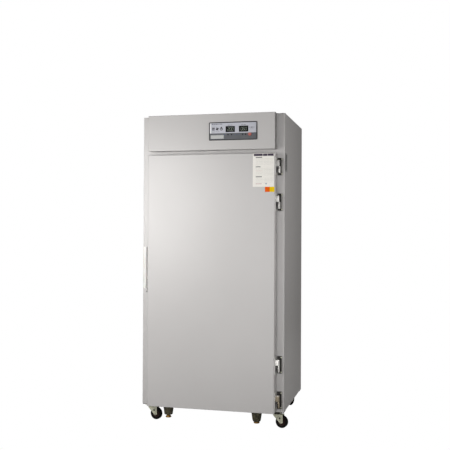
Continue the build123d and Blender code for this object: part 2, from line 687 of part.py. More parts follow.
heater_z = CHAMBER_HIGH - HEATER_DROP
with BuildPart() as heater_elements:
    for heater_radius in HEATER_RADII:
        with Locations((0, FAN_Y, heater_z)):
            Torus(heater_radius, HEATER_TUBE_RADIUS)
        for side in (-1, 1):
            rod(
                (side * heater_radius, FAN_Y, heater_z - TERMINAL_RADIUS),
                (side * heater_radius, FAN_Y, DECK_TOP + TERMINAL_RISE),
                TERMINAL_RADIUS,
            )
save(heater_elements, "heater_elements")

with BuildPart() as temperature_probe:
    rod((PROBE_X, FAN_Y, CHAMBER_HIGH - PROBE_REACH), (PROBE_X, FAN_Y, DECK_TOP + PAST), PROBE_RADIUS)
    rod((PROBE_X, FAN_Y, DECK_TOP), (PROBE_X, FAN_Y, DECK_TOP + PROBE_HEAD_HEIGHT), PROBE_HEAD_RADIUS)
save(temperature_probe, "temperature_probe")

# ================= air inlet, exhaust and gland =================
with BuildPart() as air_inlet:
    box_low_x = INNER_X - INLET_BOX_DEPTH
    slab(
        (HALF_WIDTH, INLET_Y - INLET_WIDTH / 2, INLET_LOW),
        (HALF_WIDTH + SHEET, INLET_Y + INLET_WIDTH / 2, INLET_LOW + INLET_HEIGHT),
    )
    slab(
        (box_low_x, inlet_low_y + SLIP, inlet_low_z + SLIP),
        (HALF_WIDTH + SHEET, inlet_high_y - SLIP, inlet_high_z - SLIP),
    )
    slab(
        (box_low_x + SHEET, inlet_low_y + SLIP + SHEET, inlet_low_z + SLIP + SHEET),
        (HALF_WIDTH + SHEET + PAST, inlet_high_y - SLIP - SHEET, inlet_high_z - SLIP - SHEET),
        Mode.SUBTRACT,
    )
    slat_pitch = (inlet_high_z - inlet_low_z) / (INLET_SLATS + 1)
    for slat in range(INLET_SLATS):
        slat_z = inlet_low_z + slat_pitch * (slat + 1)
        slab(
            (HALF_WIDTH - slat_pitch / 2, inlet_low_y + SLIP, slat_z - SHEET),
            (HALF_WIDTH + SHEET, inlet_high_y - SLIP, slat_z + SHEET),
        )
    rod(
        (CHAMBER_X, INLET_Y, INLET_PIPE_Z),
        (box_low_x + SHEET / 2, INLET_Y, INLET_PIPE_Z),
        INLET_PIPE_RADIUS,
    )
    rod(
        (CHAMBER_X - PAST, INLET_Y, INLET_PIPE_Z),
        (box_low_x + SHEET + PAST, INLET_Y, INLET_PIPE_Z),
        INLET_PIPE_RADIUS - SHEET,
        Mode.SUBTRACT,
    )
save(air_inlet, "air_inlet")

spigot_end = REAR_Y + SPIGOT_LENGTH
bead_y = spigot_end - SPIGOT_GRIP
damper_y = REAR_Y + DAMPER_KNOB_GAP + DAMPER_KNOB_RADIUS
with BuildPart() as exhaust_pipe:
    with BuildLine() as exhaust_route:
        FilletPolyline(
            (EXHAUST_X, EXHAUST_Y, CHAMBER_HIGH),
            (EXHAUST_X, EXHAUST_Y, EXHAUST_Z),
            (EXHAUST_X, spigot_end, EXHAUST_Z),
            radius=EXHAUST_BEND,
        )
    with BuildSketch(Plane(origin=(EXHAUST_X, EXHAUST_Y, CHAMBER_HIGH))):
        Circle(EXHAUST_RADIUS)
        Circle(EXHAUST_RADIUS - SHEET, mode=Mode.SUBTRACT)
    sweep()
    with BuildSketch(Plane.XZ.offset(-bead_y)):
        with Locations((EXHAUST_X, EXHAUST_Z)):
            Circle(BEAD_RADIUS)
            Circle(EXHAUST_RADIUS - SHEET / 2, mode=Mode.SUBTRACT)
    extrude(amount=BEAD_WIDTH)
    rod(
        (EXHAUST_X, damper_y, EXHAUST_Z - EXHAUST_RADIUS - PAST),
        (EXHAUST_X, damper_y, EXHAUST_Z + EXHAUST_RADIUS + PAST),
        DAMPER_SHAFT_RADIUS + RUNNING,
        Mode.SUBTRACT,
    )
save(exhaust_pipe, "exhaust_pipe")

# a butterfly disc on an upright spindle between the rear panel and the bead, shut at rest
knob_low = EXHAUST_Z + EXHAUST_RADIUS + AXIAL_GAP
with BuildPart() as exhaust_damper:
    rod(
        (EXHAUST_X, damper_y - DAMPER_THICKNESS / 2, EXHAUST_Z),
        (EXHAUST_X, damper_y + DAMPER_THICKNESS / 2, EXHAUST_Z),
        EXHAUST_RADIUS - SHEET - DAMPER_GAP,
    )
    rod(
        (EXHAUST_X, damper_y, EXHAUST_Z - EXHAUST_RADIUS - SHEET),
        (EXHAUST_X, damper_y, knob_low + PAST),
        DAMPER_SHAFT_RADIUS,
    )
    rod(
        (EXHAUST_X, damper_y, knob_low),
        (EXHAUST_X, damper_y, knob_low + DAMPER_KNOB_HEIGHT),
        DAMPER_KNOB_RADIUS,
    )
save(exhaust_damper, "exhaust_damper")

gland_z = DECK_TOP + GLAND_RISE
gland_end = REAR_Y + GLAND_LENGTH
with BuildPart() as cable_gland:
    rod((GLAND_X, REAR_Y - GLAND_LENGTH / 2, gland_z), (GLAND_X, gland_end, gland_z), GLAND_RADIUS)
    with BuildSketch(Plane.XZ.offset(-REAR_Y)):
        with Locations((GLAND_X, gland_z)):
            RegularPolygon(GLAND_NUT_RADIUS, 6)
    extrude(amount=-GLAND_NUT_LENGTH)
    rod(
        (GLAND_X, REAR_Y - GLAND_LENGTH, gland_z),
        (GLAND_X, gland_end + PAST, gland_z),
        GLAND_BORE,
        Mode.SUBTRACT,
    )
save(cable_gland, "cable_gland")

# ================= control cover and panel =================
bezel_low = COVER_LOW + BEZEL_RISE
bezel_high = bezel_low + BEZEL_HEIGHT
bezel_right = BEZEL_LEFT + BEZEL_WIDTH
fascia_left = BEZEL_LEFT + BEZEL_RIM
fascia_right = bezel_right - BEZEL_RIM
fascia_low = bezel_low + BEZEL_RIM
fascia_high = bezel_high - BEZEL_RIM
with BuildPart() as control_cover:
    slab((-DOOR_X, DOOR_FRONT, COVER_LOW), (DOOR_X, FRONT_Y, BODY_HIGH))
    fillet(control_cover.faces().sort_by(Axis.Y)[0].edges(), DOOR_CORNER)
    slab(
        (-DOOR_X + SHEET, DOOR_FRONT + SHEET, COVER_LOW + SHEET),
        (DOOR_X - SHEET, FRONT_Y - SHEET, BODY_HIGH - SHEET),
        Mode.SUBTRACT,
    )
    slab(
        (-DOOR_X + COVER_LIP, FRONT_Y - SHEET - PAST, COVER_LOW + COVER_LIP),
        (DOOR_X - COVER_LIP, FRONT_Y + PAST, BODY_HIGH - COVER_LIP),
        Mode.SUBTRACT,
    )
    slab(
        (fascia_left + PANEL_MARGIN, DOOR_FRONT - PAST, fascia_low + PANEL_MARGIN),
        (fascia_right - PANEL_MARGIN, DOOR_FRONT + SHEET + PAST, fascia_high - PANEL_MARGIN),
        Mode.SUBTRACT,
    )
save(control_cover, "control_cover")

with BuildPart() as panel_bezel:
    slab((BEZEL_LEFT, DOOR_FRONT - BEZEL_THICKNESS, bezel_low), (bezel_right, DOOR_FRONT, bezel_high))
    chamfer(panel_bezel.faces().sort_by(Axis.Y)[0].edges(), SHEET)
    slab(
        (fascia_left, DOOR_FRONT - BEZEL_THICKNESS - PAST, fascia_low),
        (fascia_right, DOOR_FRONT + PAST, fascia_high),
        Mode.SUBTRACT,
    )
save(panel_bezel, "panel_bezel")

fascia_front = DOOR_FRONT - FASCIA_THICKNESS
display_z = bezel_low + DISPLAY_RISE
key_z = bezel_low + KEY_RISE
with BuildPart() as panel_fascia:
    with BuildSketch(Plane.XZ.offset(-DOOR_FRONT)):
        with Locations(((fascia_left + fascia_right) / 2, (fascia_low + fascia_high) / 2)):
            Rectangle(fascia_right - fascia_left, fascia_high - fascia_low)
        with Locations(*[(x, display_z) for x in DISPLAY_CENTRES]):
            Rectangle(DISPLAY_WIDTH, DISPLAY_HEIGHT, mode=Mode.SUBTRACT)
        with Locations(*[(x, key_z) for x in KEY_CENTRES]):
            Rectangle(KEY_WIDTH + 2 * BUTTON_GAP, KEY_HEIGHT + 2 * BUTTON_GAP, mode=Mode.SUBTRACT)
        with Locations(*[(x, key_z) for x in LAMP_CENTRES]):
            Circle(LAMP_RADIUS, mode=Mode.SUBTRACT)
        with Locations((POWER_CENTRE, key_z)):
            Circle(POWER_RADIUS + BUTTON_GAP, mode=Mode.SUBTRACT)
    extrude(amount=FASCIA_THICKNESS)
save(panel_fascia, "panel_fascia")

with BuildPart() as display_windows:
    for display_x in DISPLAY_CENTRES:
        slab(
            (display_x - DISPLAY_WIDTH / 2, fascia_front + SLIP, display_z - DISPLAY_HEIGHT / 2),
            (display_x + DISPLAY_WIDTH / 2, DOOR_FRONT, display_z + DISPLAY_HEIGHT / 2),
        )
save(display_windows, "display_windows")

with BuildPart() as indicator_lamps:
    for lamp_x in LAMP_CENTRES:
        rod((lamp_x, DOOR_FRONT, key_z), (lamp_x, fascia_front - LAMP_RADIUS / 2, key_z), LAMP_RADIUS)
save(indicator_lamps, "indicator_lamps")

cap_back = fascia_front + BUTTON_DEPTH
stem_back = cap_back + STEM_LENGTH
switch_front = stem_back + BUTTON_TRAVEL + AXIAL_GAP
board_front = switch_front + SWITCH_HEIGHT
with BuildPart() as power_button:
    rod((POWER_CENTRE, cap_back, key_z), (POWER_CENTRE, fascia_front - POWER_PROUD, key_z), POWER_RADIUS)
    fillet(power_button.faces().sort_by(Axis.Y)[0].edges(), SHEET)
    rod((POWER_CENTRE, stem_back, key_z), (POWER_CENTRE, cap_back - PAST, key_z), STEM_RADIUS)
save(power_button, "power_button")

for number, key_x in enumerate(KEY_CENTRES, start=1):
    with BuildPart() as set_key:
        slab(
            (key_x - KEY_WIDTH / 2, fascia_front - KEY_PROUD, key_z - KEY_HEIGHT / 2),
            (key_x + KEY_WIDTH / 2, cap_back, key_z + KEY_HEIGHT / 2),
        )
        rod((key_x, stem_back, key_z), (key_x, cap_back - PAST, key_z), STEM_RADIUS)
    save(set_key, f"set_key_{number}")

# the circuit board hangs on four posts behind the cover's front
post_inset = PANEL_MARGIN / 2
with BuildPart() as control_board:
    slab(
        (fascia_left, board_front, fascia_low),
        (fascia_right, board_front + BOARD_THICKNESS, fascia_high),
    )
    for post_x in (fascia_left + post_inset, fascia_right - post_inset):
        for post_z in (fascia_low + post_inset, fascia_high - post_inset):
            rod((post_x, DOOR_FRONT + SHEET, post_z), (post_x, board_front + PAST, post_z), POST_RADIUS)
    for switch_x in (*KEY_CENTRES, POWER_CENTRE):
        slab(
            (switch_x - SWITCH_SIZE / 2, switch_front, key_z - SWITCH_SIZE / 2),
            (switch_x + SWITCH_SIZE / 2, board_front + PAST, key_z + SWITCH_SIZE / 2),
        )
    module_half_width = DISPLAY_WIDTH / 2 - SHEET
    module_half_height = DISPLAY_HEIGHT / 2 - SHEET
    for display_x in DISPLAY_CENTRES:
        slab(
            (display_x - module_half_width, DOOR_FRONT + SLIP, display_z - module_half_height),
            (display_x + module_half_width, board_front + PAST, display_z + module_half_height),
        )
save(control_board, "control_board")

# ================= door =================
plug_x = CHAMBER_X - PLUG_CLEARANCE
plug_low = CHAMBER_LOW + PLUG_CLEARANCE
plug_high = CHAMBER_HIGH - PLUG_CLEARANCE
plug_back = FRONT_Y + PLUG_DEPTH
with BuildPart() as door_skin:
    slab((-DOOR_X, DOOR_FRONT, DOOR_LOW), (DOOR_X, DOOR_BACK, DOOR_HIGH))
    fillet(door_skin.faces().sort_by(Axis.Y)[0].edges(), DOOR_CORNER)
    slab(
        (-DOOR_X + SHEET, DOOR_FRONT + SHEET, DOOR_LOW + SHEET),
        (DOOR_X - SHEET, DOOR_BACK + PAST, DOOR_HIGH - SHEET),
        Mode.SUBTRACT,
    )
save(door_skin, "door_skin")

with BuildPart() as door_liner:
    slab(
        (-DOOR_X + SHEET, DOOR_BACK - SHEET, DOOR_LOW + SHEET),
        (DOOR_X - SHEET, DOOR_BACK, DOOR_HIGH - SHEET),
    )
    slab((-plug_x, DOOR_BACK - SHEET, plug_low), (plug_x, plug_back, plug_high))
    slab(
        (-plug_x + SHEET, DOOR_BACK - SHEET - PAST, plug_low + SHEET),
        (plug_x - SHEET, plug_back - SHEET, plug_high - SHEET),
        Mode.SUBTRACT,
    )
save(door_liner, "door_liner")

with BuildPart() as door_insulation:
    slab(
        (-DOOR_X + SHEET, DOOR_FRONT + SHEET, DOOR_LOW + SHEET),
        (DOOR_X - SHEET, DOOR_BACK - SHEET, DOOR_HIGH - SHEET),
    )
    slab(
        (-plug_x + SHEET, DOOR_BACK - SHEET - PAST, plug_low + SHEET),
        (plug_x - SHEET, plug_back - SHEET, plug_high - SHEET),
    )
save(door_insulation, "door_insulation")

with BuildPart() as door_gasket:
    ring_x = CHAMBER_X + GASKET_INSET
    ring_low = CHAMBER_LOW - GASKET_INSET
    ring_high = CHAMBER_HIGH + GASKET_INSET
    slab(
        (-ring_x - GASKET_WIDTH, DOOR_BACK, ring_low - GASKET_WIDTH),
        (ring_x + GASKET_WIDTH, FRONT_Y - SEAL_GAP, ring_high + GASKET_WIDTH),
    )
    slab((-ring_x, DOOR_BACK - PAST, ring_low), (ring_x, FRONT_Y + PAST, ring_high), Mode.SUBTRACT)
save(door_gasket, "door_gasket")

card_right = DOOR_X - DOOR_CORNER
card_high = DOOR_HIGH - CARD_MARGIN
with BuildPart() as log_card:
    slab(
        (card_right - CARD_WIDTH, DOOR_FRONT - CARD_THICKNESS, card_high - CARD_HEIGHT),
        (card_right, DOOR_FRONT, card_high),
    )
save(log_card, "log_card")

# ================= hinges =================
leaf_x = DOOR_X + HINGE_LEAF
door_leaf_back = HINGE_Y + DOOR_LEAF_DEPTH / 2
door_screw_y = door_leaf_back - SCREW_MARGIN
screw_heights = []
for centre in HINGE_HEIGHTS:
    for vertical in (-1, 1):
        screw_heights.append(centre + vertical * (HINGE_HEIGHT / 2 - SCREW_MARGIN))
with BuildPart() as hinge_door_leaves:
    for centre in HINGE_HEIGHTS:
        slab(
            (DOOR_X, HINGE_Y - DOOR_LEAF_DEPTH / 2, centre - HINGE_HEIGHT / 2),
            (leaf_x, door_leaf_back, centre + HINGE_HEIGHT / 2),
        )
        slab(
            (DOOR_X, HINGE_Y - KNUCKLE_RADIUS, centre),
            (HINGE_X, HINGE_Y + HINGE_WEB - KNUCKLE_RADIUS, centre + UPPER_KNUCKLE),
        )
        rod((HINGE_X, HINGE_Y, centre), (HINGE_X, HINGE_Y, centre + UPPER_KNUCKLE), KNUCKLE_RADIUS)
        rod(
            (HINGE_X, HINGE_Y, centre - PAST),
            (HINGE_X, HINGE_Y, centre + UPPER_KNUCKLE + PAST),
            PIN_RADIUS + RUNNING,
            Mode.SUBTRACT,
        )
    rods(
        [(DOOR_X - PAST, door_screw_y, height) for height in screw_heights],
        (HINGE_LEAF + 2 * PAST, 0, 0),
        SCREW_RADIUS,
        Mode.SUBTRACT,
    )
save(hinge_door_leaves, "hinge_door_leaves")

frame_leaf_left = HINGE_X - FRAME_LEAF_WIDTH / 2 + HINGE_WEB / 2
frame_leaf_right = frame_leaf_left + FRAME_LEAF_WIDTH
frame_leaf_front = FRONT_Y - HINGE_LEAF
frame_screw_x = frame_leaf_right - SCREW_MARGIN
with BuildPart() as hinge_frame_leaves:
    for centre in HINGE_HEIGHTS:
        slab(
            (frame_leaf_left, frame_leaf_front, centre - HINGE_HEIGHT / 2),
            (frame_leaf_right, FRONT_Y, centre + HINGE_HEIGHT / 2),
        )
        slab(
            (HINGE_X - HINGE_WEB / 2, HINGE_Y, centre - LOWER_KNUCKLE),
            (HINGE_X + HINGE_WEB / 2, FRONT_Y - HINGE_LEAF / 2, centre - AXIAL_GAP),
        )
        rod(
            (HINGE_X, HINGE_Y, centre - LOWER_KNUCKLE),
            (HINGE_X, HINGE_Y, centre - AXIAL_GAP),
            KNUCKLE_RADIUS,
        )
        rod(
            (HINGE_X, HINGE_Y, centre - LOWER_KNUCKLE - PAST),
            (HINGE_X, HINGE_Y, centre + PAST),
            PIN_RADIUS,
            Mode.SUBTRACT,
        )
    rods(
        [(frame_screw_x, frame_leaf_front - PAST, height) for height in screw_heights],
        (0, HINGE_LEAF + 2 * PAST, 0),
        SCREW_RADIUS,
        Mode.SUBTRACT,
    )
save(hinge_frame_leaves, "hinge_frame_leaves")

with BuildPart() as hinge_pins:
    for centre in HINGE_HEIGHTS:
        head_low = centre + UPPER_KNUCKLE + AXIAL_GAP
        rod((HINGE_X, HINGE_Y, centre - LOWER_KNUCKLE), (HINGE_X, HINGE_Y, head_low + PAST), PIN_RADIUS)
        rod((HINGE_X, HINGE_Y, head_low), (HINGE_X, HINGE_Y, head_low + PIN_HEAD_HEIGHT), PIN_HEAD_RADIUS)
save(hinge_pins, "hinge_pins")

screw_reach = HINGE_LEAF + SCREW_HEAD_HEIGHT
with BuildPart() as hinge_screws_door:
    rods([(DOOR_X, door_screw_y, height) for height in screw_heights], (screw_reach, 0, 0), SCREW_RADIUS)
    rods(
        [(leaf_x, door_screw_y, height) for height in screw_heights],
        (SCREW_HEAD_HEIGHT, 0, 0),
        SCREW_HEAD_RADIUS,
    )
save(hinge_screws_door, "hinge_screws_door")

with BuildPart() as hinge_screws_frame:
    rods([(frame_screw_x, FRONT_Y, height) for height in screw_heights], (0, -screw_reach, 0), SCREW_RADIUS)
    rods(
        [(frame_screw_x, frame_leaf_front, height) for height in screw_heights],
        (0, -SCREW_HEAD_HEIGHT, 0),
        SCREW_HEAD_RADIUS,
    )
save(hinge_screws_frame, "hinge_screws_frame")

# ================= door handle =================
grip_right = -DOOR_X - GRIP_STANDOFF
grip_left = grip_right - GRIP_WIDTH
grip_front = DOOR_FRONT - GRIP_PROUD
grip_back = grip_front + GRIP_DEPTH
handle_z = GRIP_BOTTOM + HANDLE_AXIS_RISE
strike_face = FRONT_Y - STRIKE_THICKNESS
handle_y = FRONT_Y - HANDLE_AXIS_PROUD
barrel_right = -DOOR_X - HANDLE_PLATE - AXIAL_GAP
barrel_left = grip_left + HANDLE_BARREL_INSET
heel_reach = strike_face - handle_y - AXIAL_GAP - HEEL_RADIUS
heel_y = handle_y + heel_reach * cos(radians(HANDLE_PULL))
heel_z = handle_z - heel_reach * sin(radians(HANDLE_PULL))

# the lever turns on a cross pin near its lower end, and its heel pries against the strike
with BuildPart() as handle_lever:
    slab((grip_left, grip_front, GRIP_BOTTOM), (grip_right, grip_back, GRIP_BOTTOM + GRIP_LENGTH))
    fillet(handle_lever.edges().filter_by(Axis.Z), GRIP_ROUND)
    slab(
        (barrel_left, grip_back - PAST, handle_z - HANDLE_BARREL_RADIUS),
        (grip_right, handle_y, handle_z + HANDLE_BARREL_RADIUS),
    )
    rod((barrel_left, handle_y, handle_z), (barrel_right, handle_y, handle_z), HANDLE_BARREL_RADIUS)
    with BuildSketch(Plane.YZ.offset(barrel_left)):
        with Locations((handle_y, handle_z)):
            Circle(HEEL_ROOT_RADIUS)
        with Locations((heel_y, heel_z)):
            Circle(HEEL_RADIUS)
        make_hull()
    extrude(amount=barrel_right - barrel_left)
    rod(
        (barrel_left - PAST, handle_y, handle_z),
        (barrel_right + PAST, handle_y, handle_z),
        HANDLE_PIN_RADIUS + RUNNING,
        Mode.SUBTRACT,
    )
save(handle_lever, "handle_lever")

with BuildPart() as handle_base:
    slab(
        (-DOOR_X - HANDLE_PLATE, handle_y - HANDLE_PLATE_DEPTH / 2, handle_z - HANDLE_PLATE_HEIGHT / 2),
        (-DOOR_X, handle_y + HANDLE_PLATE_DEPTH / 2, handle_z + HANDLE_PLATE_HEIGHT / 2),
    )
    pin_end = barrel_left - AXIAL_GAP
    rod((-DOOR_X, handle_y, handle_z), (pin_end, handle_y, handle_z), HANDLE_PIN_RADIUS)
    rod(
        (pin_end, handle_y, handle_z),
        (pin_end - SHEET, handle_y, handle_z),
        HANDLE_PIN_RADIUS + HANDLE_PIN_HEAD,
    )
save(handle_base, "handle_base")

with BuildPart() as latch_strike:
    strike_x = (barrel_left + barrel_right) / 2
    slab(
        (strike_x - STRIKE_WIDTH / 2, strike_face, handle_z - STRIKE_HEIGHT / 2),
        (strike_x + STRIKE_WIDTH / 2, FRONT_Y, handle_z + STRIKE_HEIGHT / 2),
    )
save(latch_strike, "latch_strike")

# ================= casters =================
plate_low = BODY_LOW - PLATE_THICKNESS
crown_high = BODY_LOW - CROWN_DROP
cheek_gap = WHEEL_WIDTH / 2 + WHEEL_SIDE_GAP
with BuildPart() as caster_plates:
    for place_x, place_y in caster_places.values():
        slab(
            (place_x - PLATE_LENGTH / 2, place_y - PLATE_WIDTH / 2, plate_low),
            (place_x + PLATE_LENGTH / 2, place_y + PLATE_WIDTH / 2, BODY_LOW),
        )
        rod((place_x, place_y, crown_high + AXIAL_GAP), (place_x, place_y, plate_low + PAST), RACE_RADIUS)
        nut_high = crown_high - FORK_SHEET - AXIAL_GAP
        nut_low = nut_high - KINGPIN_NUT_HEIGHT
        rod((place_x, place_y, nut_high - PAST), (place_x, place_y, plate_low), KINGPIN_RADIUS)
        rod((place_x, place_y, nut_low), (place_x, place_y, nut_high), KINGPIN_NUT_RADIUS)
    rods(
        [(x, y, plate_low - PAST) for x, y in bolt_places],
        (0, 0, PLATE_THICKNESS + 2 * PAST),
        BOLT_RADIUS + BOLT_SLIP,
        Mode.SUBTRACT,
    )
save(caster_plates, "caster_plates")

with BuildPart() as caster_bolts:
    rods([(x, y, plate_low) for x, y in bolt_places], (0, 0, BOLT_LENGTH), BOLT_RADIUS)
    rods([(x, y, plate_low) for x, y in bolt_places], (0, 0, -BOLT_HEAD_HEIGHT), BOLT_HEAD_RADIUS)
save(caster_bolts, "caster_bolts")

for corner, (place_x, place_y) in caster_places.items():
    turn = radians(CASTER_TURNS[corner])
    trail_way = Vector(cos(turn), sin(turn), 0)
    swivel = Plane(origin=(place_x, place_y, 0), x_dir=trail_way, z_dir=(0, 0, 1))
    with BuildPart(swivel) as caster_fork:
        rod((0, 0, crown_high - FORK_SHEET), (0, 0, crown_high), CROWN_RADIUS)
        slab(
            (-CROWN_RADIUS / 2, -cheek_gap - FORK_SHEET, crown_high - FORK_SHEET),
            (CASTER_TRAIL + FORK_FOOT_RADIUS, cheek_gap + FORK_SHEET, crown_high),
        )
        for cheek_side in (-1, 1):
            inner_face = cheek_side * cheek_gap
            cheek_plane = Plane(
                origin=swivel.from_local_coords(Vector(0, inner_face, 0)),
                x_dir=trail_way,
                z_dir=swivel.y_dir * cheek_side,
            )
            up = cheek_plane.y_dir.Z
            cheek_back = CASTER_TRAIL + FORK_FOOT_RADIUS
            cheek_front = cheek_back - FORK_TOP_LENGTH
            cheek_low = WHEEL_RADIUS - FORK_FOOT_RADIUS
            with BuildSketch(cheek_plane):
                with BuildLine():
                    Polyline(
                        (cheek_back, up * crown_high),
                        (cheek_front, up * crown_high),
                        (cheek_front, up * (crown_high - FORK_FOOT_RADIUS)),
                        (CASTER_TRAIL - FORK_FOOT_RADIUS, up * (cheek_low + FORK_FOOT_RADIUS / 2)),
                        (CASTER_TRAIL, up * cheek_low),
                        (cheek_back, up * (cheek_low + FORK_FOOT_RADIUS / 2)),
                        close=True,
                    )
                make_face()
            extrude(amount=FORK_SHEET)
        rod(
            (0, 0, crown_high - FORK_SHEET - PAST),
            (0, 0, crown_high + PAST),
            KINGPIN_RADIUS + RUNNING,
            Mode.SUBTRACT,
        )
        cheek_outside = cheek_gap + FORK_SHEET
        nut_end = cheek_outside + AXLE_NUT_LENGTH
        rod((CASTER_TRAIL, -nut_end, WHEEL_RADIUS), (CASTER_TRAIL, nut_end, WHEEL_RADIUS), AXLE_RADIUS)
        for cheek_side in (-1, 1):
            rod(
                (CASTER_TRAIL, cheek_side * cheek_outside, WHEEL_RADIUS),
                (CASTER_TRAIL, cheek_side * nut_end, WHEEL_RADIUS),
                AXLE_NUT_RADIUS,
            )
    save(caster_fork, f"caster_fork_{corner}")

    with BuildPart(swivel) as caster_wheel:
        hub_half = WHEEL_WIDTH / 2 + WHEEL_SIDE_GAP - AXIAL_GAP
        rod(
            (CASTER_TRAIL, -WHEEL_WIDTH / 2, WHEEL_RADIUS),
            (CASTER_TRAIL, WHEEL_WIDTH / 2, WHEEL_RADIUS),
            WHEEL_RADIUS,
        )
        fillet(caster_wheel.edges().filter_by(GeomType.CIRCLE), WHEEL_ROUND)
        rod((CASTER_TRAIL, -hub_half, WHEEL_RADIUS), (CASTER_TRAIL, hub_half, WHEEL_RADIUS), HUB_RADIUS)
        rod(
            (CASTER_TRAIL, -hub_half - PAST, WHEEL_RADIUS),
            (CASTER_TRAIL, hub_half + PAST, WHEEL_RADIUS),
            AXLE_RADIUS + RUNNING,
            Mode.SUBTRACT,
        )
    save(caster_wheel, f"caster_wheel_{corner}")

# ================= levelling feet =================
housing_high = BODY_LOW - FOOT_TOP_PLATE
with BuildPart() as foot_housings:
    for foot_x, foot_y, _ in foot_places.values():
        with BuildSketch(Plane.XY.offset(FOOT_HOUSING_LOW)):
            with Locations((foot_x, foot_y)):
                Circle(FOOT_LOW_RADIUS)
        with BuildSketch(Plane.XY.offset(housing_high)):
            with Locations((foot_x, foot_y)):
                Circle(FOOT_TOP_RADIUS)
        loft()
    low_rims = foot_housings.edges().filter_by_position(Axis.Z, FOOT_HOUSING_LOW, FOOT_HOUSING_LOW)
    fillet(low_rims, FOOT_LOW_ROUND)
    for foot_x, foot_y, facing in foot_places.values():
        rod(
            (foot_x, foot_y, FOOT_HOUSING_LOW - FOOT_COLLAR_HEIGHT),
            (foot_x, foot_y, FOOT_HOUSING_LOW + PAST),
            FOOT_COLLAR_RADIUS,
        )
        plate_y = (INNER_FRONT, foot_y + FOOT_TOP_RADIUS)
        if facing < 0:
            plate_y = (foot_y - FOOT_TOP_RADIUS, INNER_REAR)
        slab(
            (foot_x - FOOT_TOP_RADIUS, plate_y[0], housing_high),
            (foot_x + FOOT_TOP_RADIUS, plate_y[1], BODY_LOW),
        )
        rod(
            (foot_x, foot_y, FOOT_HOUSING_LOW - FOOT_COLLAR_HEIGHT - PAST),
            (foot_x, foot_y, housing_high - SHEET),
            FOOT_STUD_RADIUS + RUNNING,
            Mode.SUBTRACT,
        )
save(foot_housings, "foot_housings")

pad_high = FOOT_HOUSING_LOW - FOOT_COLLAR_HEIGHT - FOOT_PAD_GAP
pad_low = pad_high - FOOT_PAD_THICKNESS
for corner, (foot_x, foot_y, facing) in foot_places.items():
    with BuildPart() as level_foot:
        rod((foot_x, foot_y, pad_low), (foot_x, foot_y, pad_high), FOOT_PAD_RADIUS)
        fillet(level_foot.edges().filter_by(GeomType.CIRCLE), FOOT_PAD_ROUND)
        stud_high = pad_high + FOOT_STUD_LENGTH
        rod((foot_x, foot_y, pad_high - PAST), (foot_x, foot_y, stud_high), FOOT_STUD_RADIUS)
    save(level_foot, f"level_foot_{corner}")
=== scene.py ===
"""Looks of an upright dry heat sterilizer on casters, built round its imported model."""

import json
import math

import bmesh
import bpy
import numpy as np
from bpy.props import FloatProperty, FloatVectorProperty, PointerProperty, StringProperty
from mathutils import Matrix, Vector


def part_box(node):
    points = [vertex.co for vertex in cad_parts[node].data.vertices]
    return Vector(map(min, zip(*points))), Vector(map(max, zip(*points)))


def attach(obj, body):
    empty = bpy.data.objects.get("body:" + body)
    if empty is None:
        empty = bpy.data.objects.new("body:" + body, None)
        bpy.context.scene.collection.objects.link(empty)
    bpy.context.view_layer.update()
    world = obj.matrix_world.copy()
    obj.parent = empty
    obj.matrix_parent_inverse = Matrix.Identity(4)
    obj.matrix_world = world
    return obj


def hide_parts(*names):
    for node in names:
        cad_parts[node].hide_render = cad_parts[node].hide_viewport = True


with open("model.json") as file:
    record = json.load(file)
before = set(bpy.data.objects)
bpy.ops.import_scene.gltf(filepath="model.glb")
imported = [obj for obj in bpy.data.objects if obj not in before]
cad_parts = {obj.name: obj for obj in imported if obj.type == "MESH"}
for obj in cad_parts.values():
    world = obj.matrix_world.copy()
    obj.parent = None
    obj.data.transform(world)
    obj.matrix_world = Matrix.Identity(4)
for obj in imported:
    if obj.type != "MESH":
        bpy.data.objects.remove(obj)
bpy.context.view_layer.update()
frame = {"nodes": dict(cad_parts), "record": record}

bl_info = {
    "name": "Dry heat sterilizer",
    "version": (1, 0, 0),
    "blender": (4, 5, 0),
    "location": "View3D > Sidebar > Sterilizer",
    "description": "Finishes, control panel, hinges, handle, casters and feet of a heat sterilizing cabinet",
    "category": "Object",
}

# Sizes and places are in millimetres, but in metres inside the finishes and on the stage.
MM = 0.001
NODES = frame["nodes"]
FINISHES = {}
LEFT = np.array([-1.0, 0.0, 0.0])
RIGHT = np.array([1.0, 0.0, 0.0])
FORWARD = np.array([0.0, -1.0, 0.0])
BACKWARD = np.array([0.0, 1.0, 0.0])
UP = np.array([0.0, 0.0, 1.0])
CENTRE = None  # inset of a ring that closes to a point
NOISE_LOW, NOISE_HIGH = 0.3, 0.7  # most of a noise lies between these
PRINT_LIFT = 0.15  # thickness of the panel's printing
CARD_LIFT = 0.12  # thickness of the log card's printing
SET_KEYS = tuple(f"set_key_{number}" for number in range(1, 5))
DISPLAY_HALF_WIDTH = 29.0
LAMP_CENTRES = (90.5, 160.0, 180.0, 268.0)
HINGE_CENTRES = (172.0, 385.0, 1362.0, 1576.0)  # heights of the hinges' middles
# Direction in which each caster trails, in degrees from the right round to the back.
CASTER_TURNS = {"front_left": -10.0, "front_right": -10.0, "rear_left": 170.0, "rear_right": -117.0}


def extent(node):
    """A node's lowest and highest corners, its middle and its half size."""
    low, high = (np.array(corner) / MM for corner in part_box(node))
    return low, high, (low + high) / 2, (high - low) / 2


# ---------------------------------------------------------------- surfaces


def laid(grid, origin, across, up, out):
    """Places local points: each is the origin plus its three numbers times the three directions."""
    return np.asarray(grid, float) @ np.array([across, up, out], float) + np.asarray(origin, float)


def facing(grid, x, y, z):
    """Places local points whose third number runs forward, out of the cabinet's front."""
    return laid(grid, (x, y, z), RIGHT, UP, FORWARD)


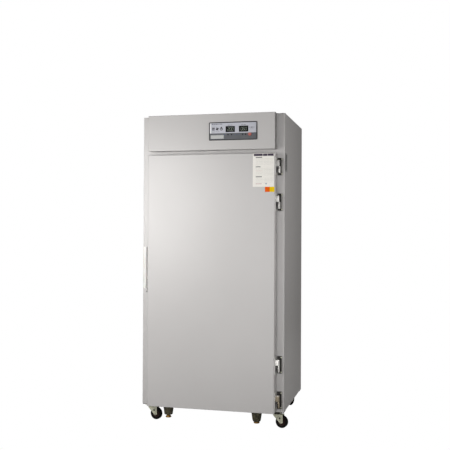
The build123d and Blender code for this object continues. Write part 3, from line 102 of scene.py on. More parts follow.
def on_back(grid, node):
    """Places local points on the middle of a node's back, with their third number running forward."""
    _, high, middle, _ = extent(node)
    return facing(grid, middle[0], high[1], middle[2])


def standing(grid, x, y):
    """Places local points whose third number is their height above the floor."""
    return laid(grid, (x, y, 0), RIGHT, BACKWARD, UP)


def turned(profile, steps, flute=None):
    """A profile of (radius, height) carried round a circle.

    The point at angle t and row i is (r cos t, r sin t, h), where r is the row's radius, and in rows
    that have a third number s it is r times (1 - s + s times flute(t)).
    """
    rows = [tuple(row) + (0.0,) * (3 - len(row)) for row in profile]
    radius, height, share = np.array(rows, float).T
    angle = np.linspace(0, 2 * math.pi, steps, endpoint=False)
    shape = np.ones(steps) if flute is None else flute(angle)
    reach = radius[:, None] * (1 - share[:, None] + share[:, None] * shape[None, :])
    return np.stack([reach * np.cos(angle), reach * np.sin(angle), height[:, None] + 0 * reach], -1)


def mirrored(profile):
    """The reflection of a profile in height 0, run from its end to its start."""
    return [(radius, -height) for radius, height in reversed(profile)]


def cross_recess(angle):
    """Outline of a cross slot, as a share of its arm: the arm's end, or its side at half width / sin t."""
    half_width = 0.24
    turn = np.abs((angle + math.pi / 4) % (math.pi / 2) - math.pi / 4)
    return np.minimum(1.0, half_width / np.maximum(np.sin(turn), 1e-6))


def screw_head(profile, seat, across, along, outward, degrees):
    """A cross-slotted head: a profile carried round an outward axis, after a turn about that axis.

    The head's two directions are across cos t + along sin t and along cos t - across sin t.
    """
    turn = math.radians(degrees)
    first = across * math.cos(turn) + along * math.sin(turn)
    second = along * math.cos(turn) - across * math.sin(turn)
    return laid(turned(profile, 40, cross_recess), seat, first, second, outward)


def moulded(half_across, half_up, corner, profile, steps=6):
    """A profile of (inset, height) carried round a rectangle with round corners.

    Each corner is a quarter circle. A ring's corner radius is the outline's less its inset, and what
    the inset exceeds the radius by moves the corner's centre in. An inset of CENTRE closes the ring
    to a point.
    """
    quarter = np.linspace(0, math.pi / 2, steps)
    angle = np.concatenate([quarter + turn * math.pi / 2 for turn in range(4)])
    sign_across = np.repeat([1, -1, -1, 1], steps)
    sign_up = np.repeat([1, 1, -1, -1], steps)
    closed = np.array([row[0] is CENTRE for row in profile])
    inset = np.array([0.0 if row[0] is CENTRE else row[0] for row in profile], float)[:, None]
    height = np.array([row[1] for row in profile], float)[:, None]
    radius = np.maximum(corner - inset, 0.0)
    moved = np.maximum(inset - corner, 0.0)
    across = sign_across * np.maximum(half_across - corner - moved, 0.0) + radius * np.cos(angle)
    up = sign_up * np.maximum(half_up - corner - moved, 0.0) + radius * np.sin(angle)
    across[closed] = 0.0
    up[closed] = 0.0
    return np.stack([across, up, height + 0 * across], -1)


def rounded(depth, edge):
    """Profile for moulded: from the back's middle up a straight side, round the front edge, and in."""
    flat_margin = 0.6
    angle = np.linspace(0, math.pi / 2, 5)
    front = [(edge * (1 - math.cos(a)), depth - edge * (1 - math.sin(a))) for a in angle]
    return [(CENTRE, 0.0), (0.0, 0.0)] + front + [(edge + flat_margin, depth), (CENTRE, depth)]


def prism(outline, lift):
    """A convex outline of (across, up) points raised from 0 to a lift, and closed by its middle."""
    outline = np.asarray(outline, float)
    middle = np.broadcast_to(outline.mean(0), outline.shape)
    rows = [(middle, 0.0), (outline, 0.0), (outline, lift), (middle, lift)]
    return np.stack([np.column_stack([flat, np.full(len(flat), height)]) for flat, height in rows])


def bar(left, low, right, high, lift=PRINT_LIFT):
    """A flat printed bar, as a prism on a rectangle."""
    return prism([(left, low), (right, low), (right, high), (left, high)], lift)


def disc(middle, radius, steps, lift=PRINT_LIFT):
    """A flat printed dot: a prism on the points middle + (r cos t, r sin t)."""
    angle = np.linspace(0, 2 * math.pi, steps, endpoint=False)
    return prism(np.column_stack([radius * np.cos(angle), radius * np.sin(angle)]) + middle, lift)


def line(across, up, width):
    """A flat printed line: a rectangle carried along a path and closed at both ends by its middle.

    At each point of the path, side is the path's direction crossed with UP, and top is side crossed
    with the direction.
    """
    path = np.column_stack([across, up, 0 * up])
    section = np.array([(-width / 2, 0), (width / 2, 0), (width / 2, PRINT_LIFT), (-width / 2, PRINT_LIFT)])
    along = np.gradient(path, axis=0)
    along = along / np.linalg.norm(along, axis=1, keepdims=True)
    side = np.cross(along, np.broadcast_to(UP, along.shape))
    side = side / np.linalg.norm(side, axis=1, keepdims=True)
    top = np.cross(side, along)
    grid = path[:, None] + side[:, None] * section[None, :, :1] + top[:, None] * section[None, :, 1:]
    first = np.broadcast_to(path[0], grid[0].shape)
    last = np.broadcast_to(path[-1], grid[0].shape)
    return np.concatenate([first[None], grid, last[None]])


def make_piece(name, grids, finish, body, stands_for=(), crease=32.0, ring_rows=False):
    """Makes one mesh of grids, each closed across its columns, and with ring_rows across its rows too.

    The quad at row i and column j joins it to the next row and column, and the last column to the
    first. Doubled points at seams and poles are merged and the faces turned outwards. The piece rides
    on a body and takes the named finish as its material.
    """
    points = []
    faces = []
    first = 0
    for grid in grids:
        rows, columns = grid.shape[:2]
        joined_rows = np.arange(rows if ring_rows else rows - 1)
        row, column = np.meshgrid(joined_rows, np.arange(columns), indexing="ij")
        next_row = (row + 1) % rows
        next_column = (column + 1) % columns
        quads = [row * columns + column, row * columns + next_column]
        quads += [next_row * columns + next_column, next_row * columns + column]
        faces.append(np.stack(quads, -1).reshape(-1, 4) + first)
        points.append(grid.reshape(-1, 3) * MM)
        first += rows * columns
    mesh = bpy.data.meshes.new(name)
    mesh.from_pydata(np.concatenate(points), [], np.concatenate(faces).tolist())
    shell = bmesh.new()
    shell.from_mesh(mesh)
    bmesh.ops.remove_doubles(shell, verts=shell.verts, dist=2e-7)
    bmesh.ops.dissolve_degenerate(shell, edges=shell.edges, dist=1e-7)
    bmesh.ops.recalc_face_normals(shell, faces=shell.faces)
    shell.to_mesh(mesh)
    shell.free()
    mesh.shade_smooth()
    mesh.set_sharp_from_angle(angle=math.radians(crease))
    mesh.materials.append(FINISHES[finish])
    piece = bpy.data.objects.new(name, mesh)
    bpy.context.scene.collection.objects.link(piece)
    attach(piece, body)
    if stands_for:
        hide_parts(*stands_for)


# ---------------------------------------------------------------- finishes


class Recipe:
    """A finish built up node by node round one Principled shader, on Object coordinates.

    Its material goes into FINISHES under its name.
    """

    def __init__(self, name, roughness, metallic=0.0, **sockets):
        material = bpy.data.materials.new(name)
        material.use_nodes = True
        FINISHES[name] = material
        self.tree = material.node_tree
        self.shader = self.tree.nodes["Principled BSDF"]
        self.shader.inputs["Roughness"].default_value = roughness
        self.shader.inputs["Metallic"].default_value = metallic
        for socket, value in sockets.items():
            self.shader.inputs[socket.replace("_", " ")].default_value = value
        self.place = self.node("ShaderNodeTexCoord").outputs["Object"]

    def node(self, kind, **settings):
        """Adds a node and sets its own settings."""
        added = self.tree.nodes.new(kind)
        for setting, value in settings.items():
            setattr(added, setting, value)
        return added

    def feed(self, value, socket):
        """Links an output to an input, or sets the input's number."""
        if isinstance(value, bpy.types.NodeSocket):
            self.tree.links.new(value, socket)
        else:
            socket.default_value = value

    def stretched(self, across, deep, high):
        """The place on the piece scaled along each direction, for grain and brush marks."""
        mapping = self.node("ShaderNodeMapping")
        self.feed(self.place, mapping.inputs["Vector"])
        mapping.inputs["Scale"].default_value = (across, deep, high)
        return mapping.outputs["Vector"]

    def noise(self, scale, detail=2.0, roughness=0.5, at=None):
        """Cloudy noise at the place on the piece, or at another place worked out from it."""
        noise = self.node("ShaderNodeTexNoise")
        self.feed(at or self.place, noise.inputs["Vector"])
        noise.inputs["Scale"].default_value = scale
        noise.inputs["Detail"].default_value = detail
        noise.inputs["Roughness"].default_value = roughness
        return noise.outputs["Fac"]

    def cells(self, scale):
        """Distance to the nearest of scattered points, for hammered surfaces."""
        cells = self.node("ShaderNodeTexVoronoi", feature="F1")
        self.feed(self.place, cells.inputs["Vector"])
        cells.inputs["Scale"].default_value = scale
        return cells.outputs["Distance"]

    def axis(self, letter):
        """One coordinate of the place on the piece, in metres."""
        parts = self.node("ShaderNodeSeparateXYZ")
        self.feed(self.place, parts.inputs["Vector"])
        return parts.outputs[letter]

    def levels(self, value, low, high, to_low=0.0, to_high=1.0):
        """Maps low..high to to_low..to_high, held at both ends."""
        levels = self.node("ShaderNodeMapRange")
        self.feed(value, levels.inputs["Value"])
        sockets = ("From Min", "From Max", "To Min", "To Max")
        for socket, number in zip(sockets, (low, high, to_low, to_high)):
            levels.inputs[socket].default_value = number
        return levels.outputs["Result"]

    def past(self, letter, place, soft):
        """0 before a place along one axis and 1 past it, rising over a soft length to either side."""
        return self.levels(self.axis(letter), place - soft, place + soft)

    def varied(self, noise, first, second):
        """Carries the usual run of a noise to the numbers from first to second."""
        return self.levels(noise, NOISE_LOW, NOISE_HIGH, first, second)

    def clouded(self, noise, first, second):
        """Carries the usual run of a noise to the colours from first to second."""
        return self.ramp(noise, (NOISE_LOW, first), (NOISE_HIGH, second))

    def math(self, operation, first, second):
        """One arithmetic step on two values."""
        step = self.node("ShaderNodeMath", operation=operation)
        self.feed(first, step.inputs[0])
        self.feed(second, step.inputs[1])
        return step.outputs[0]

    def ramp(self, value, *stops):
        """A colour that runs through stops of (position, colour) as the value rises."""
        ramp = self.node("ShaderNodeValToRGB")
        self.feed(value, ramp.inputs["Fac"])
        for stop, (position, colour) in zip(ramp.color_ramp.elements, stops):
            stop.position = position
            stop.color = (*colour, 1.0)
        return ramp.outputs["Color"]

    def blend(self, share, first, second, mode="MIX"):
        """Two colours mixed by a share of the second."""
        mix = self.node("ShaderNodeMix", data_type="RGBA", blend_type=mode)
        self.feed(share, mix.inputs["Factor"])
        for value, socket in ((first, mix.inputs[6]), (second, mix.inputs[7])):
            self.feed(value if isinstance(value, bpy.types.NodeSocket) else (*value, 1.0), socket)
        return mix.outputs[2]

    def colour(self, value):
        """Gives the surface its colour."""
        self.feed(value, self.shader.inputs["Base Color"])

    def gloss(self, value):
        """Gives the surface its roughness."""
        self.feed(value, self.shader.inputs["Roughness"])

    def relief(self, height, depth_mm, strength):
        """Raises the surface by the height times a depth in millimetres, as a bump over earlier ones."""
        bump = self.node("ShaderNodeBump")
        bump.inputs["Strength"].default_value = strength
        bump.inputs["Distance"].default_value = depth_mm * MM
        self.feed(height, bump.inputs["Height"])
        previous = self.shader.inputs["Normal"].links
        if previous:
            self.feed(previous[0].from_socket, bump.inputs["Normal"])
        self.feed(bump.outputs["Normal"], self.shader.inputs["Normal"])


def tint(colour, factor):
    """A colour made darker or lighter by one factor."""
    return tuple(min(1.0, channel * factor) for channel in colour)


def powder_coat(name, colour, roughness, painted_shade_from=None, specular=0.5):
    """Baked powder paint: fine orange peel, slow drifts of tone, and streaks of dust near the floor.

    Right of the place given along X the coat is darkened, painted shade that stands for the shadow on a
    cover's return beside the hinges.
    """
    recipe = Recipe(name, roughness, Specular_IOR_Level=specular)
    drift = recipe.clouded(recipe.noise(2.3, 3.0), tint(colour, 0.975), tint(colour, 1.012))
    streaks = recipe.noise(9.0, 4.0, 0.6)
    near_floor = recipe.levels(recipe.axis("Z"), 0.10, 0.42, 0.5, 0.0)
    dust = recipe.math("MULTIPLY", recipe.levels(streaks, 0.45, 0.75), near_floor)
    coat = recipe.blend(dust, drift, tint(colour, 0.95))
    if painted_shade_from:
        # painted shade: the return right of the given place is darkened to stand for its shadow
        return_painted_shade = recipe.levels(recipe.axis("X"), painted_shade_from - 0.0003, painted_shade_from)
        coat = recipe.blend(return_painted_shade, coat, tint(colour, 0.36))
    recipe.colour(coat)
    recipe.gloss(recipe.varied(recipe.noise(38.0, 3.0), roughness - 0.04, roughness + 0.05))
    recipe.relief(recipe.noise(520.0, 2.0), 0.05, 0.35)


def plated(name, pale, deep, roughness, scale=60.0):
    """Plated metal under a clouded film that runs from a deep to a pale colour."""
    recipe = Recipe(name, roughness, 0.4)
    recipe.colour(recipe.ramp(recipe.noise(scale, 5.0, 0.6), (0.32, deep), (0.62, pale)))
    recipe.gloss(recipe.varied(recipe.noise(scale * 2.2, 4.0), roughness - 0.06, roughness + 0.12))
    recipe.relief(recipe.noise(900.0, 2.0), 0.03, 0.4)


def brushed(name, colour, roughness, grain=(1.0, 60.0, 60.0)):
    """Brushed sheet: fine parallel lines in tone, gloss and relief."""
    recipe = Recipe(name, roughness, 1.0)
    lines = recipe.noise(22.0, 6.0, 0.65, recipe.stretched(*grain))
    recipe.colour(recipe.clouded(lines, tint(colour, 0.84), colour))
    recipe.gloss(recipe.varied(lines, roughness + 0.05, roughness - 0.02))
    recipe.relief(lines, 0.02, 0.5)


def moulding(name, colour, roughness, grain=900.0, depth=0.02, **sockets):
    """Moulded plastic: a fine spark-eroded grain and a slight cloud in its colour."""
    recipe = Recipe(name, roughness, **sockets)
    recipe.colour(recipe.clouded(recipe.noise(14.0, 4.0), tint(colour, 0.93), tint(colour, 1.04)))
    recipe.gloss(recipe.varied(recipe.noise(70.0, 3.0), roughness - 0.05, roughness + 0.06))
    recipe.relief(recipe.noise(grain, 3.0), depth, 0.5)


def hammered(name, colour, roughness=0.35, scale=170.0):
    """Hammered enamel: rounded dimples a few millimetres apart, with darker hollows and dusty patches."""
    recipe = Recipe(name, roughness, 0.15, Coat_Weight=0.3, Coat_Roughness=0.2)
    dimples = recipe.cells(scale)
    hollows = recipe.ramp(dimples, (0.1, tint(colour, 1.3)), (0.7, tint(colour, 0.6)))
    patches = recipe.levels(recipe.noise(scale * 0.45, 3.0, 0.6), 0.42, 0.66)
    recipe.colour(recipe.blend(patches, hollows, tint(colour, 2.1)))
    recipe.gloss(recipe.varied(recipe.noise(90.0), roughness - 0.05, roughness + 0.1))
    recipe.relief(dimples, 0.25, 0.6)


def hinge_plate(name, satin, letter, knuckle, leaf, shadow_edges=(0.0, 0.0, 0.0), shaded=1.0, upper_dimming=1.0):
    """Nickelled knuckle and satin leaf, told apart along one axis, tinted brown low on the cabinet.

    Painted shade darkens the knuckle left of the first X, for the shadowed gap beside the door leaf, and
    the leaf left of the second X on the lower hinges and of the third on the upper ones, for the shadow
    beside the knuckle. Right of X=shaded the upper knuckles carry painted shade too, and the rest of them
    is dimmed by a factor as painted shade.
    """
    nickel = (0.93, 0.92, 0.89)
    # painted shade: near-black for the shadows beside the knuckle and on the leaf
    shadow_dark = (0.035, 0.032, 0.03)
    low_brown = (0.42, 0.36, 0.27)
    soft = 0.001
    fold = (knuckle + leaf) / 2
    fold_soft = 0.0004
    recipe = Recipe(name, 0.24)
    on_leaf = recipe.levels(recipe.axis(letter), fold - fold_soft, fold + fold_soft,
                            float(knuckle > leaf), float(leaf > knuckle))
    upper = recipe.levels(recipe.axis("Z"), 0.5, 0.7)
    lines = recipe.noise(22.0, 6.0, 0.65, recipe.stretched(30.0, 30.0, 1.0))
    bright = recipe.clouded(lines, tint(nickel, 0.88), nickel)
    # painted shade: the upper knuckles' nickel dimmed by a factor
    bright = recipe.blend(upper, bright, tint(nickel, upper_dimming))
    # painted shade on the knuckle left of the first X
    bright = recipe.blend(recipe.past("X", shadow_edges[0], soft), shadow_dark, bright)
    # painted shade on the upper knuckles right of X=shaded
    in_shade = recipe.math("MULTIPLY", recipe.past("X", shaded, soft), upper)
    bright = recipe.blend(in_shade, bright, tint(nickel, 0.16))
    dull = recipe.clouded(recipe.noise(60.0, 3.0), tint(satin, 0.9), satin)
    # painted shadow on the leaf beside the knuckle
    leaf_shadow_edge = recipe.levels(upper, 0.0, 1.0, shadow_edges[1], shadow_edges[2])
    past_leaf_shadow = recipe.levels(recipe.math("SUBTRACT", recipe.axis("X"), leaf_shadow_edge), -soft, soft)
    dull = recipe.blend(past_leaf_shadow, shadow_dark, dull)
    # the metal is tinted brown below about 0.2 m
    wavy_height = recipe.math("ADD", recipe.axis("Z"), recipe.varied(lines, -0.01, 0.01))
    above_low_brown = recipe.levels(wavy_height, 0.20, 0.21)
    low_brown_tint = recipe.ramp(above_low_brown, (0.0, low_brown), (1.0, (1.0, 1.0, 1.0)))
    recipe.colour(recipe.blend(on_leaf, recipe.blend(1.0, bright, low_brown_tint, "MULTIPLY"), dull))
    recipe.feed(recipe.levels(on_leaf, 0.0, 1.0, 0.35, 0.25), recipe.shader.inputs["Metallic"])
    recipe.gloss(recipe.levels(on_leaf, 0.0, 1.0, 0.24, 0.5))
    recipe.relief(lines, 0.02, 0.5)


def wool(name, colour):
    """Mineral wool: tangled fibres over soft clods, and no gloss."""
    recipe = Recipe(name, 0.95, Sheen_Weight=0.3)
    fibres = recipe.noise(320.0, 8.0, 0.75, recipe.stretched(1.0, 1.0, 4.0))
    clods = recipe.noise(26.0, 5.0, 0.6)
    tangle = recipe.clouded(fibres, tint(colour, 0.6), colour)
    recipe.colour(recipe.blend(clods, tangle, tint(colour, 0.85)))
    recipe.relief(fibres, 1.2, 0.8)
    recipe.relief(clods, 4.0, 0.8)


def rubber(name, colour, roughness):
    """Hard rubber: matt, with paler and duller scuffs."""
    recipe = Recipe(name, roughness, Specular_IOR_Level=0.2)
    scuffs = recipe.levels(recipe.noise(120.0, 6.0, 0.7), 0.55, 0.8)
    recipe.colour(recipe.blend(recipe.math("MULTIPLY", scuffs, 0.35), colour, tint(colour, 3.0)))
    recipe.gloss(recipe.levels(scuffs, 0.0, 1.0, roughness, roughness + 0.2))
    recipe.relief(recipe.noise(700.0, 3.0), 0.03, 0.5)


def printed(name, colour, roughness=0.5, worn=0.06, **sockets):
    """Printing ink or label stock: nearly even, with the grain of the sheet under it."""
    recipe = Recipe(name, roughness, **sockets)
    cloud = recipe.noise(240.0, 4.0)
    recipe.colour(recipe.clouded(cloud, tint(colour, 1 - worn), tint(colour, 1 + worn / 2)))
    recipe.relief(recipe.noise(1400.0, 2.0), 0.01, 0.4)


def circuit_board(name):
    """Green solder mask with paler copper tracks under it on a fine grid."""
    recipe = Recipe(name, 0.3, Coat_Weight=0.4, Coat_Roughness=0.12)
    upright = recipe.node("ShaderNodeMapping")
    recipe.feed(recipe.place, upright.inputs["Vector"])
    upright.inputs["Rotation"].default_value = (math.pi / 2, 0, 0)
    tracks = recipe.node("ShaderNodeTexBrick")
    recipe.feed(upright.outputs["Vector"], tracks.inputs["Vector"])
    tracks.inputs["Scale"].default_value = 110.0
    tracks.inputs["Mortar Size"].default_value = 0.05
    tracks.inputs["Color1"].default_value = (0.012, 0.10, 0.045, 1)
    tracks.inputs["Color2"].default_value = (0.010, 0.085, 0.04, 1)
    tracks.inputs["Mortar"].default_value = (0.05, 0.24, 0.09, 1)
    recipe.colour(tracks.outputs["Color"])
    recipe.gloss(recipe.varied(recipe.noise(60.0), 0.25, 0.4))
    recipe.relief(tracks.outputs["Fac"], 0.05, 0.4)


def fascia_film(name, pale, deep, join):
    """Printed film in two fields that meet at the height join, both slightly clouded."""
    recipe = Recipe(name, 0.36)
    field = recipe.clouded(recipe.noise(16.0, 2.0), tint(pale, 0.96), tint(pale, 1.03))
    band = recipe.clouded(recipe.noise(18.0, 2.0), tint(deep, 0.9), tint(deep, 1.08))
    recipe.colour(recipe.blend(recipe.past("Z", join, 0.0002), band, field))
    recipe.gloss(recipe.varied(recipe.noise(220.0, 3.0), 0.3, 0.42))
    recipe.relief(recipe.noise(1600.0, 2.0), 0.01, 0.5)


def smoked_window(name, colour):
    """Dark acrylic window: black beneath a clear gloss, with faint dust."""
    recipe = Recipe(name, 0.25, Specular_IOR_Level=0.25)
    recipe.colour(recipe.ramp(recipe.noise(400.0, 6.0, 0.7), (0.55, colour), (0.8, tint(colour, 3.0))))
    recipe.gloss(recipe.levels(recipe.noise(150.0, 4.0), 0.4, 0.8, 0.2, 0.35))


def glowing(name, colour, strength):
    """Lit plastic: its colour, slightly clouded, is also the colour of its own soft light."""
    recipe = Recipe(name, 0.3)
    tone = recipe.clouded(recipe.noise(300.0, 2.0), tint(colour, 0.85), colour)
    recipe.colour(tone)
    recipe.feed(tone, recipe.shader.inputs["Emission Color"])
    recipe.shader.inputs["Emission Strength"].default_value = strength


def make_finishes(settings):
    """Makes every finish: the model's own slots, the other looks of its nodes, and inks and labels."""
    paint = tuple(settings.paint)
    powder_coat("cabinet_paint", paint, settings.paint_roughness)
    powder_coat("side_paint", paint, 0.62, specular=0.1)
    # The cover's return right of 0.3998 m carries painted shade.
    powder_coat("cover_paint", tint(paint, 0.955), settings.paint_roughness, 0.3998)
    powder_coat("dark_frame", (0.022, 0.022, 0.024), 0.55)
    plated("zinc_plate", (0.84, 0.84, 0.67), (0.58, 0.59, 0.46), 0.42)
    brushed("stainless", (0.50, 0.49, 0.475), 0.4)
    wool("mineral_wool", (0.52, 0.47, 0.33))
    hammered("motor_paint", (0.06, 0.075, 0.085), 0.4, 240.0)
    powder_coat("grey_metal", (0.40, 0.40, 0.40), 0.42)
    circuit_board("circuit_board")
    moulding("black_plastic", (0.018, 0.018, 0.02), 0.42)
    brushed("chrome", (0.56, 0.55, 0.53), 0.24, (30.0, 30.0, 1.0))
    moulding("bezel_plastic", (0.026, 0.026, 0.03), 0.45)
    fascia_film("fascia_film", (0.55, 0.56, 0.625), (0.115, 0.122, 0.135), settings.band_join * MM)
    smoked_window("display_black", (0.006, 0.007, 0.007))
    moulding("lamp_blue", (0.10, 0.15, 0.34), 0.25, Coat_Weight=0.4)
    hammered("hammered_paint", (0.070, 0.062, 0.036))
    moulding("silicone", (0.46, 0.10, 0.055), 0.5, 600.0, 0.03, Subsurface_Weight=0.1)
    printed("card", (0.91, 0.89, 0.84), 0.42, 0.02)
    moulding("ivory_plastic", tuple(settings.grip), 0.38, Subsurface_Weight=0.05)
    brushed("aluminium", (0.72, 0.72, 0.73), 0.35, (18.0, 18.0, 18.0))
    moulding("red_plastic", (0.50, 0.125, 0.10), 0.4, Subsurface_Weight=0.1)
    moulding("key_plastic", (0.014, 0.015, 0.02), 0.5)
    rubber("caster_rubber", (0.0035, 0.003, 0.003), 0.65)
    plated("foot_brass", (0.46, 0.26, 0.06), (0.22, 0.10, 0.025), 0.4, 90.0)
    # The hinges' X places and dimming factor set where their painted shade lies.
    hinge_plate("hinge_frame_side", (0.44, 0.43, 0.42), "Y", -0.342, -0.335, (0.4205, 0.436, 0.430))
    hinge_plate("hinge_door_side", (0.80, 0.79, 0.77), "X", 0.408, 0.401, shaded=0.4235, upper_dimming=0.6)
    # painted shade: near-black zinc for the caster plates in the cabinet's shadow and for the discs that
    # stand for holes
    plated("zinc_painted_shade", (0.05, 0.045, 0.035), (0.025, 0.02, 0.018), 0.5)
    moulding("hub_plastic", (0.030, 0.010, 0.008), 0.55, Specular_IOR_Level=0.25)
    printed("header_ink", (0.035, 0.02, 0.05))
    printed("heading_ink", (0.05, 0.045, 0.05))
    printed("rule_ink", (0.42, 0.43, 0.39))
    printed("pink_ink", (0.62, 0.47, 0.45))
    printed("blue_ink", (0.12, 0.26, 0.38))
    printed("orange_label", (0.86, 0.125, 0.004), 0.6, 0.1, Specular_IOR_Level=0.08)
    printed("yellow_label", (0.88, 0.60, 0.004), 0.6, 0.1, Specular_IOR_Level=0.08)
    printed("symbol_ink", (0.018, 0.015, 0.024), Specular_IOR_Level=0.2)
    printed("caption_ink", (0.085, 0.085, 0.12))
    printed("stripe_white", (0.90, 0.90, 0.92))
    printed("plate_grey", (0.52, 0.53, 0.53))
    glowing("digit_green", (0.135, 0.155, 0.13), 0.3)


# ---------------------------------------------------------------- settings


class SterilizerFinishes(bpy.types.PropertyGroup):
    """Colours and gloss of the cabinet, the height of the panel's band and the round of sheet edges"""

    paint: FloatVectorProperty(
        name="Paint", description="Colour of the cabinet's powder coat", subtype="COLOR", size=3,
        min=0, max=1, default=(0.60, 0.587, 0.584))
    paint_roughness: FloatProperty(
        name="Paint roughness", description="How matt the powder coat is", subtype="FACTOR",
        min=0, max=1, default=0.35)
    grip: FloatVectorProperty(
        name="Grip", description="Colour of the door handle's ivory plastic", subtype="COLOR", size=3,
        min=0, max=1, default=(0.80, 0.79, 0.765))
    band_join: FloatProperty(
        name="Band height", description="Height at which the panel's two printed fields meet, in mm",
        default=1779.5)
    edge_round: FloatProperty(
        name="Edge round", description="Radius of folded sheet edges, in mm", min=0.1, max=3, default=0.9)


class SterilizerPanel(bpy.types.PropertyGroup):
    """What the control panel's displays read, and the sizes of their figures and of the bezel"""

    first_reading: StringProperty(
        name="Left display", description="Number that the left display shows", default="200")
    second_reading: StringProperty(
        name="Right display", description="Number that the right display shows", default="060")
    digit_height: FloatProperty(
        name="Digit height", description="Height of a display's digits, in mm", min=8, max=30, default=19)
    digit_pitch: FloatProperty(
        name="Digit spacing", description="Distance from one digit to the next, in mm",
        min=8, max=20, default=12.6)
    bezel_edge: FloatProperty(
        name="Bezel edge", description="Radius of the bezel's outer corner, in mm", min=1, max=8, default=6)


class SterilizerRunning(bpy.types.PropertyGroup):
    """Sizes of the caster wheels and of the levelling screws"""

    tyre_shoulder: FloatProperty(
        name="Tyre shoulder", description="Rounding of the tyre's two edges, in mm",
        min=1, max=8, default=4.5)
    hub_radius: FloatProperty(
        name="Hub radius", description="Radius at which the tyre meets the hub, in mm",
        min=12, max=30, default=23)
    thread_pitch: FloatProperty(
        name="Thread pitch", description="Pitch of the levelling screws, in mm", min=1, max=4, default=2)


class SterilizerStage(bpy.types.PropertyGroup):
    """Lens of the camera and power of the lights"""

    lens: FloatProperty(
        name="Lens", description="Camera's focal length, in mm", min=20, max=200, default=59.13)
    key_power: FloatProperty(
        name="Key light", description="Power of the soft light at the upper left, in W",
        min=0, max=2000, default=21.5)
    front_power: FloatProperty(
        name="Front light", description="Power of the wide light in front, in W", min=0, max=2000, default=34)
    side_power: FloatProperty(
        name="Side light", description="Power of the weak light at the right, in W",
        min=0, max=2000, default=20)
    rear_power: FloatProperty(
        name="Rear light", description="Power of the wide lights behind and above, in W",
        min=0, max=2000, default=85)
    sky: FloatProperty(
        name="Surroundings", description="Strength of the pale room that the cabinet reflects",
        min=0, max=2, default=0.04)


# ---------------------------------------------------------------- finishes of the model


class STERILIZER_OT_finishes(bpy.types.Operator):
    """Gives every part of the model its finish, and rounds the sheet metal's edges"""

    bl_idname = "sterilizer.finishes"
    bl_label = "Finish the cabinet"

    def execute(self, context):
        settings = context.scene.sterilizer_finishes
        make_finishes(settings)
        finishes = {part["node"]: part["material_slot"] for part in frame["record"]["subparts"]}
        # The caster plates take near-black zinc as painted shade, for the shadow under the cabinet.
        finishes.update(
            handle_base="cabinet_paint", control_cover="cover_paint", side_panel_left="side_paint",
            hinge_frame_leaves="hinge_frame_side", hinge_door_leaves="hinge_door_side",
            caster_plates="zinc_painted_shade")
        for node, shape in NODES.items():
            shape.data.materials.clear()
            shape.data.materials.append(FINISHES[finishes[node]])
        folded = dict.fromkeys(
            ("door_skin", "control_cover", "side_panel_left", "side_panel_right", "top_panel",
             "front_frame", "latch_strike"), settings.edge_round)
        folded.update(handle_base=0.8, hinge_door_leaves=0.8, hinge_frame_leaves=0.8, handle_lever=2.2)
        for node, width in folded.items():
            weld = NODES[node].modifiers.new("weld", "WELD")
            weld.merge_threshold = 1e-5
            edge = NODES[node].modifiers.new("edge", "BEVEL")
            edge.width = width * MM
            edge.segments = 3
            edge.limit_method = "ANGLE"
            edge.angle_limit = math.radians(50)
            edge.harden_normals = True
        return {"FINISHED"}


# ---------------------------------------------------------------- control panel

# Segments of each figure, lettered clockwise from the top with g across the middle.
SEGMENTS = {
    "0": "abcdef", "1": "bc", "2": "abged", "3": "abgcd", "4": "fgbc", "5": "afgcd", "6": "afgedc",
    "7": "abc", "8": "abcdefg", "9": "abcdfg", " ": "",
}
# Both ends of each segment, in widths and heights of the figure.
SEGMENT_ENDS = {
    "a": ((0, 1), (1, 1)), "b": ((1, 1), (1, 0.5)), "c": ((1, 0.5), (1, 0)), "d": ((0, 0), (1, 0)),
    "e": ((0, 0.5), (0, 0)), "f": ((0, 1), (0, 0.5)), "g": ((0, 0.5), (1, 0.5)),
}


def digit(figure, left, low, height):
    """A seven segment figure: each segment is a bar with pointed ends between two of six corners.

    Every point is then moved right by its height times the tangent of the figure's lean.
    """
    width = height * 0.5
    thick = height * 0.075
    gap = thick * 0.25
    lean = math.tan(math.radians(6))
    lift = 0.12
    grids = []
    for segment in SEGMENTS[figure]:
        start, end = (np.array(corner, float) * (width, height) for corner in SEGMENT_ENDS[segment])
        along = (end - start) / np.linalg.norm(end - start)
        side = np.array([-along[1], along[0]]) * thick
        start = start + along * gap
        end = end - along * gap
        outline = np.array([start, start + along * thick + side, end - along * thick + side,
                            end, end - along * thick - side, start + along * thick - side])
        outline[:, 0] += outline[:, 1] * lean
        grids.append(prism(outline + (left, low), lift))
    return grids


def heat_symbol(left, low, size):
    """Three rising waves over a bar: each wave is a line whose side shift is a sine of its height."""
    height = np.linspace(0.3, 1.0, 20)
    waves = [line(left + size * (share + 0.06 * np.sin(height * 13)), low + size * height, size * 0.21)
             for share in (0.18, 0.5, 0.82)]
    return [bar(left, low, left + size, low + size * 0.2)] + waves


def fan_symbol(left, low, size):
    """Four blades about a hub, a quarter turn apart.

    A blade's point at angle t is (0.31 + 0.21 cos t, 0.19 sin t + 0.09 cos t) sizes from the hub's
    middle, before the blade's own turn.
    """
    middle = np.array([left + size / 2, low + size / 2])
    grids = [disc(middle, size * 0.14, 16)]
    angle = np.linspace(0, 2 * math.pi, 20, endpoint=False)
    blade = [0.31 + 0.21 * np.cos(angle), 0.19 * np.sin(angle) + 0.09 * np.cos(angle)]
    blade = np.column_stack(blade) * size
    for turn in np.radians([20, 110, 200, 290]):
        spin = np.array([[math.cos(turn), math.sin(turn)], [-math.sin(turn), math.cos(turn)]])
        grids.append(prism(blade @ spin + middle, PRINT_LIFT))
    return grids


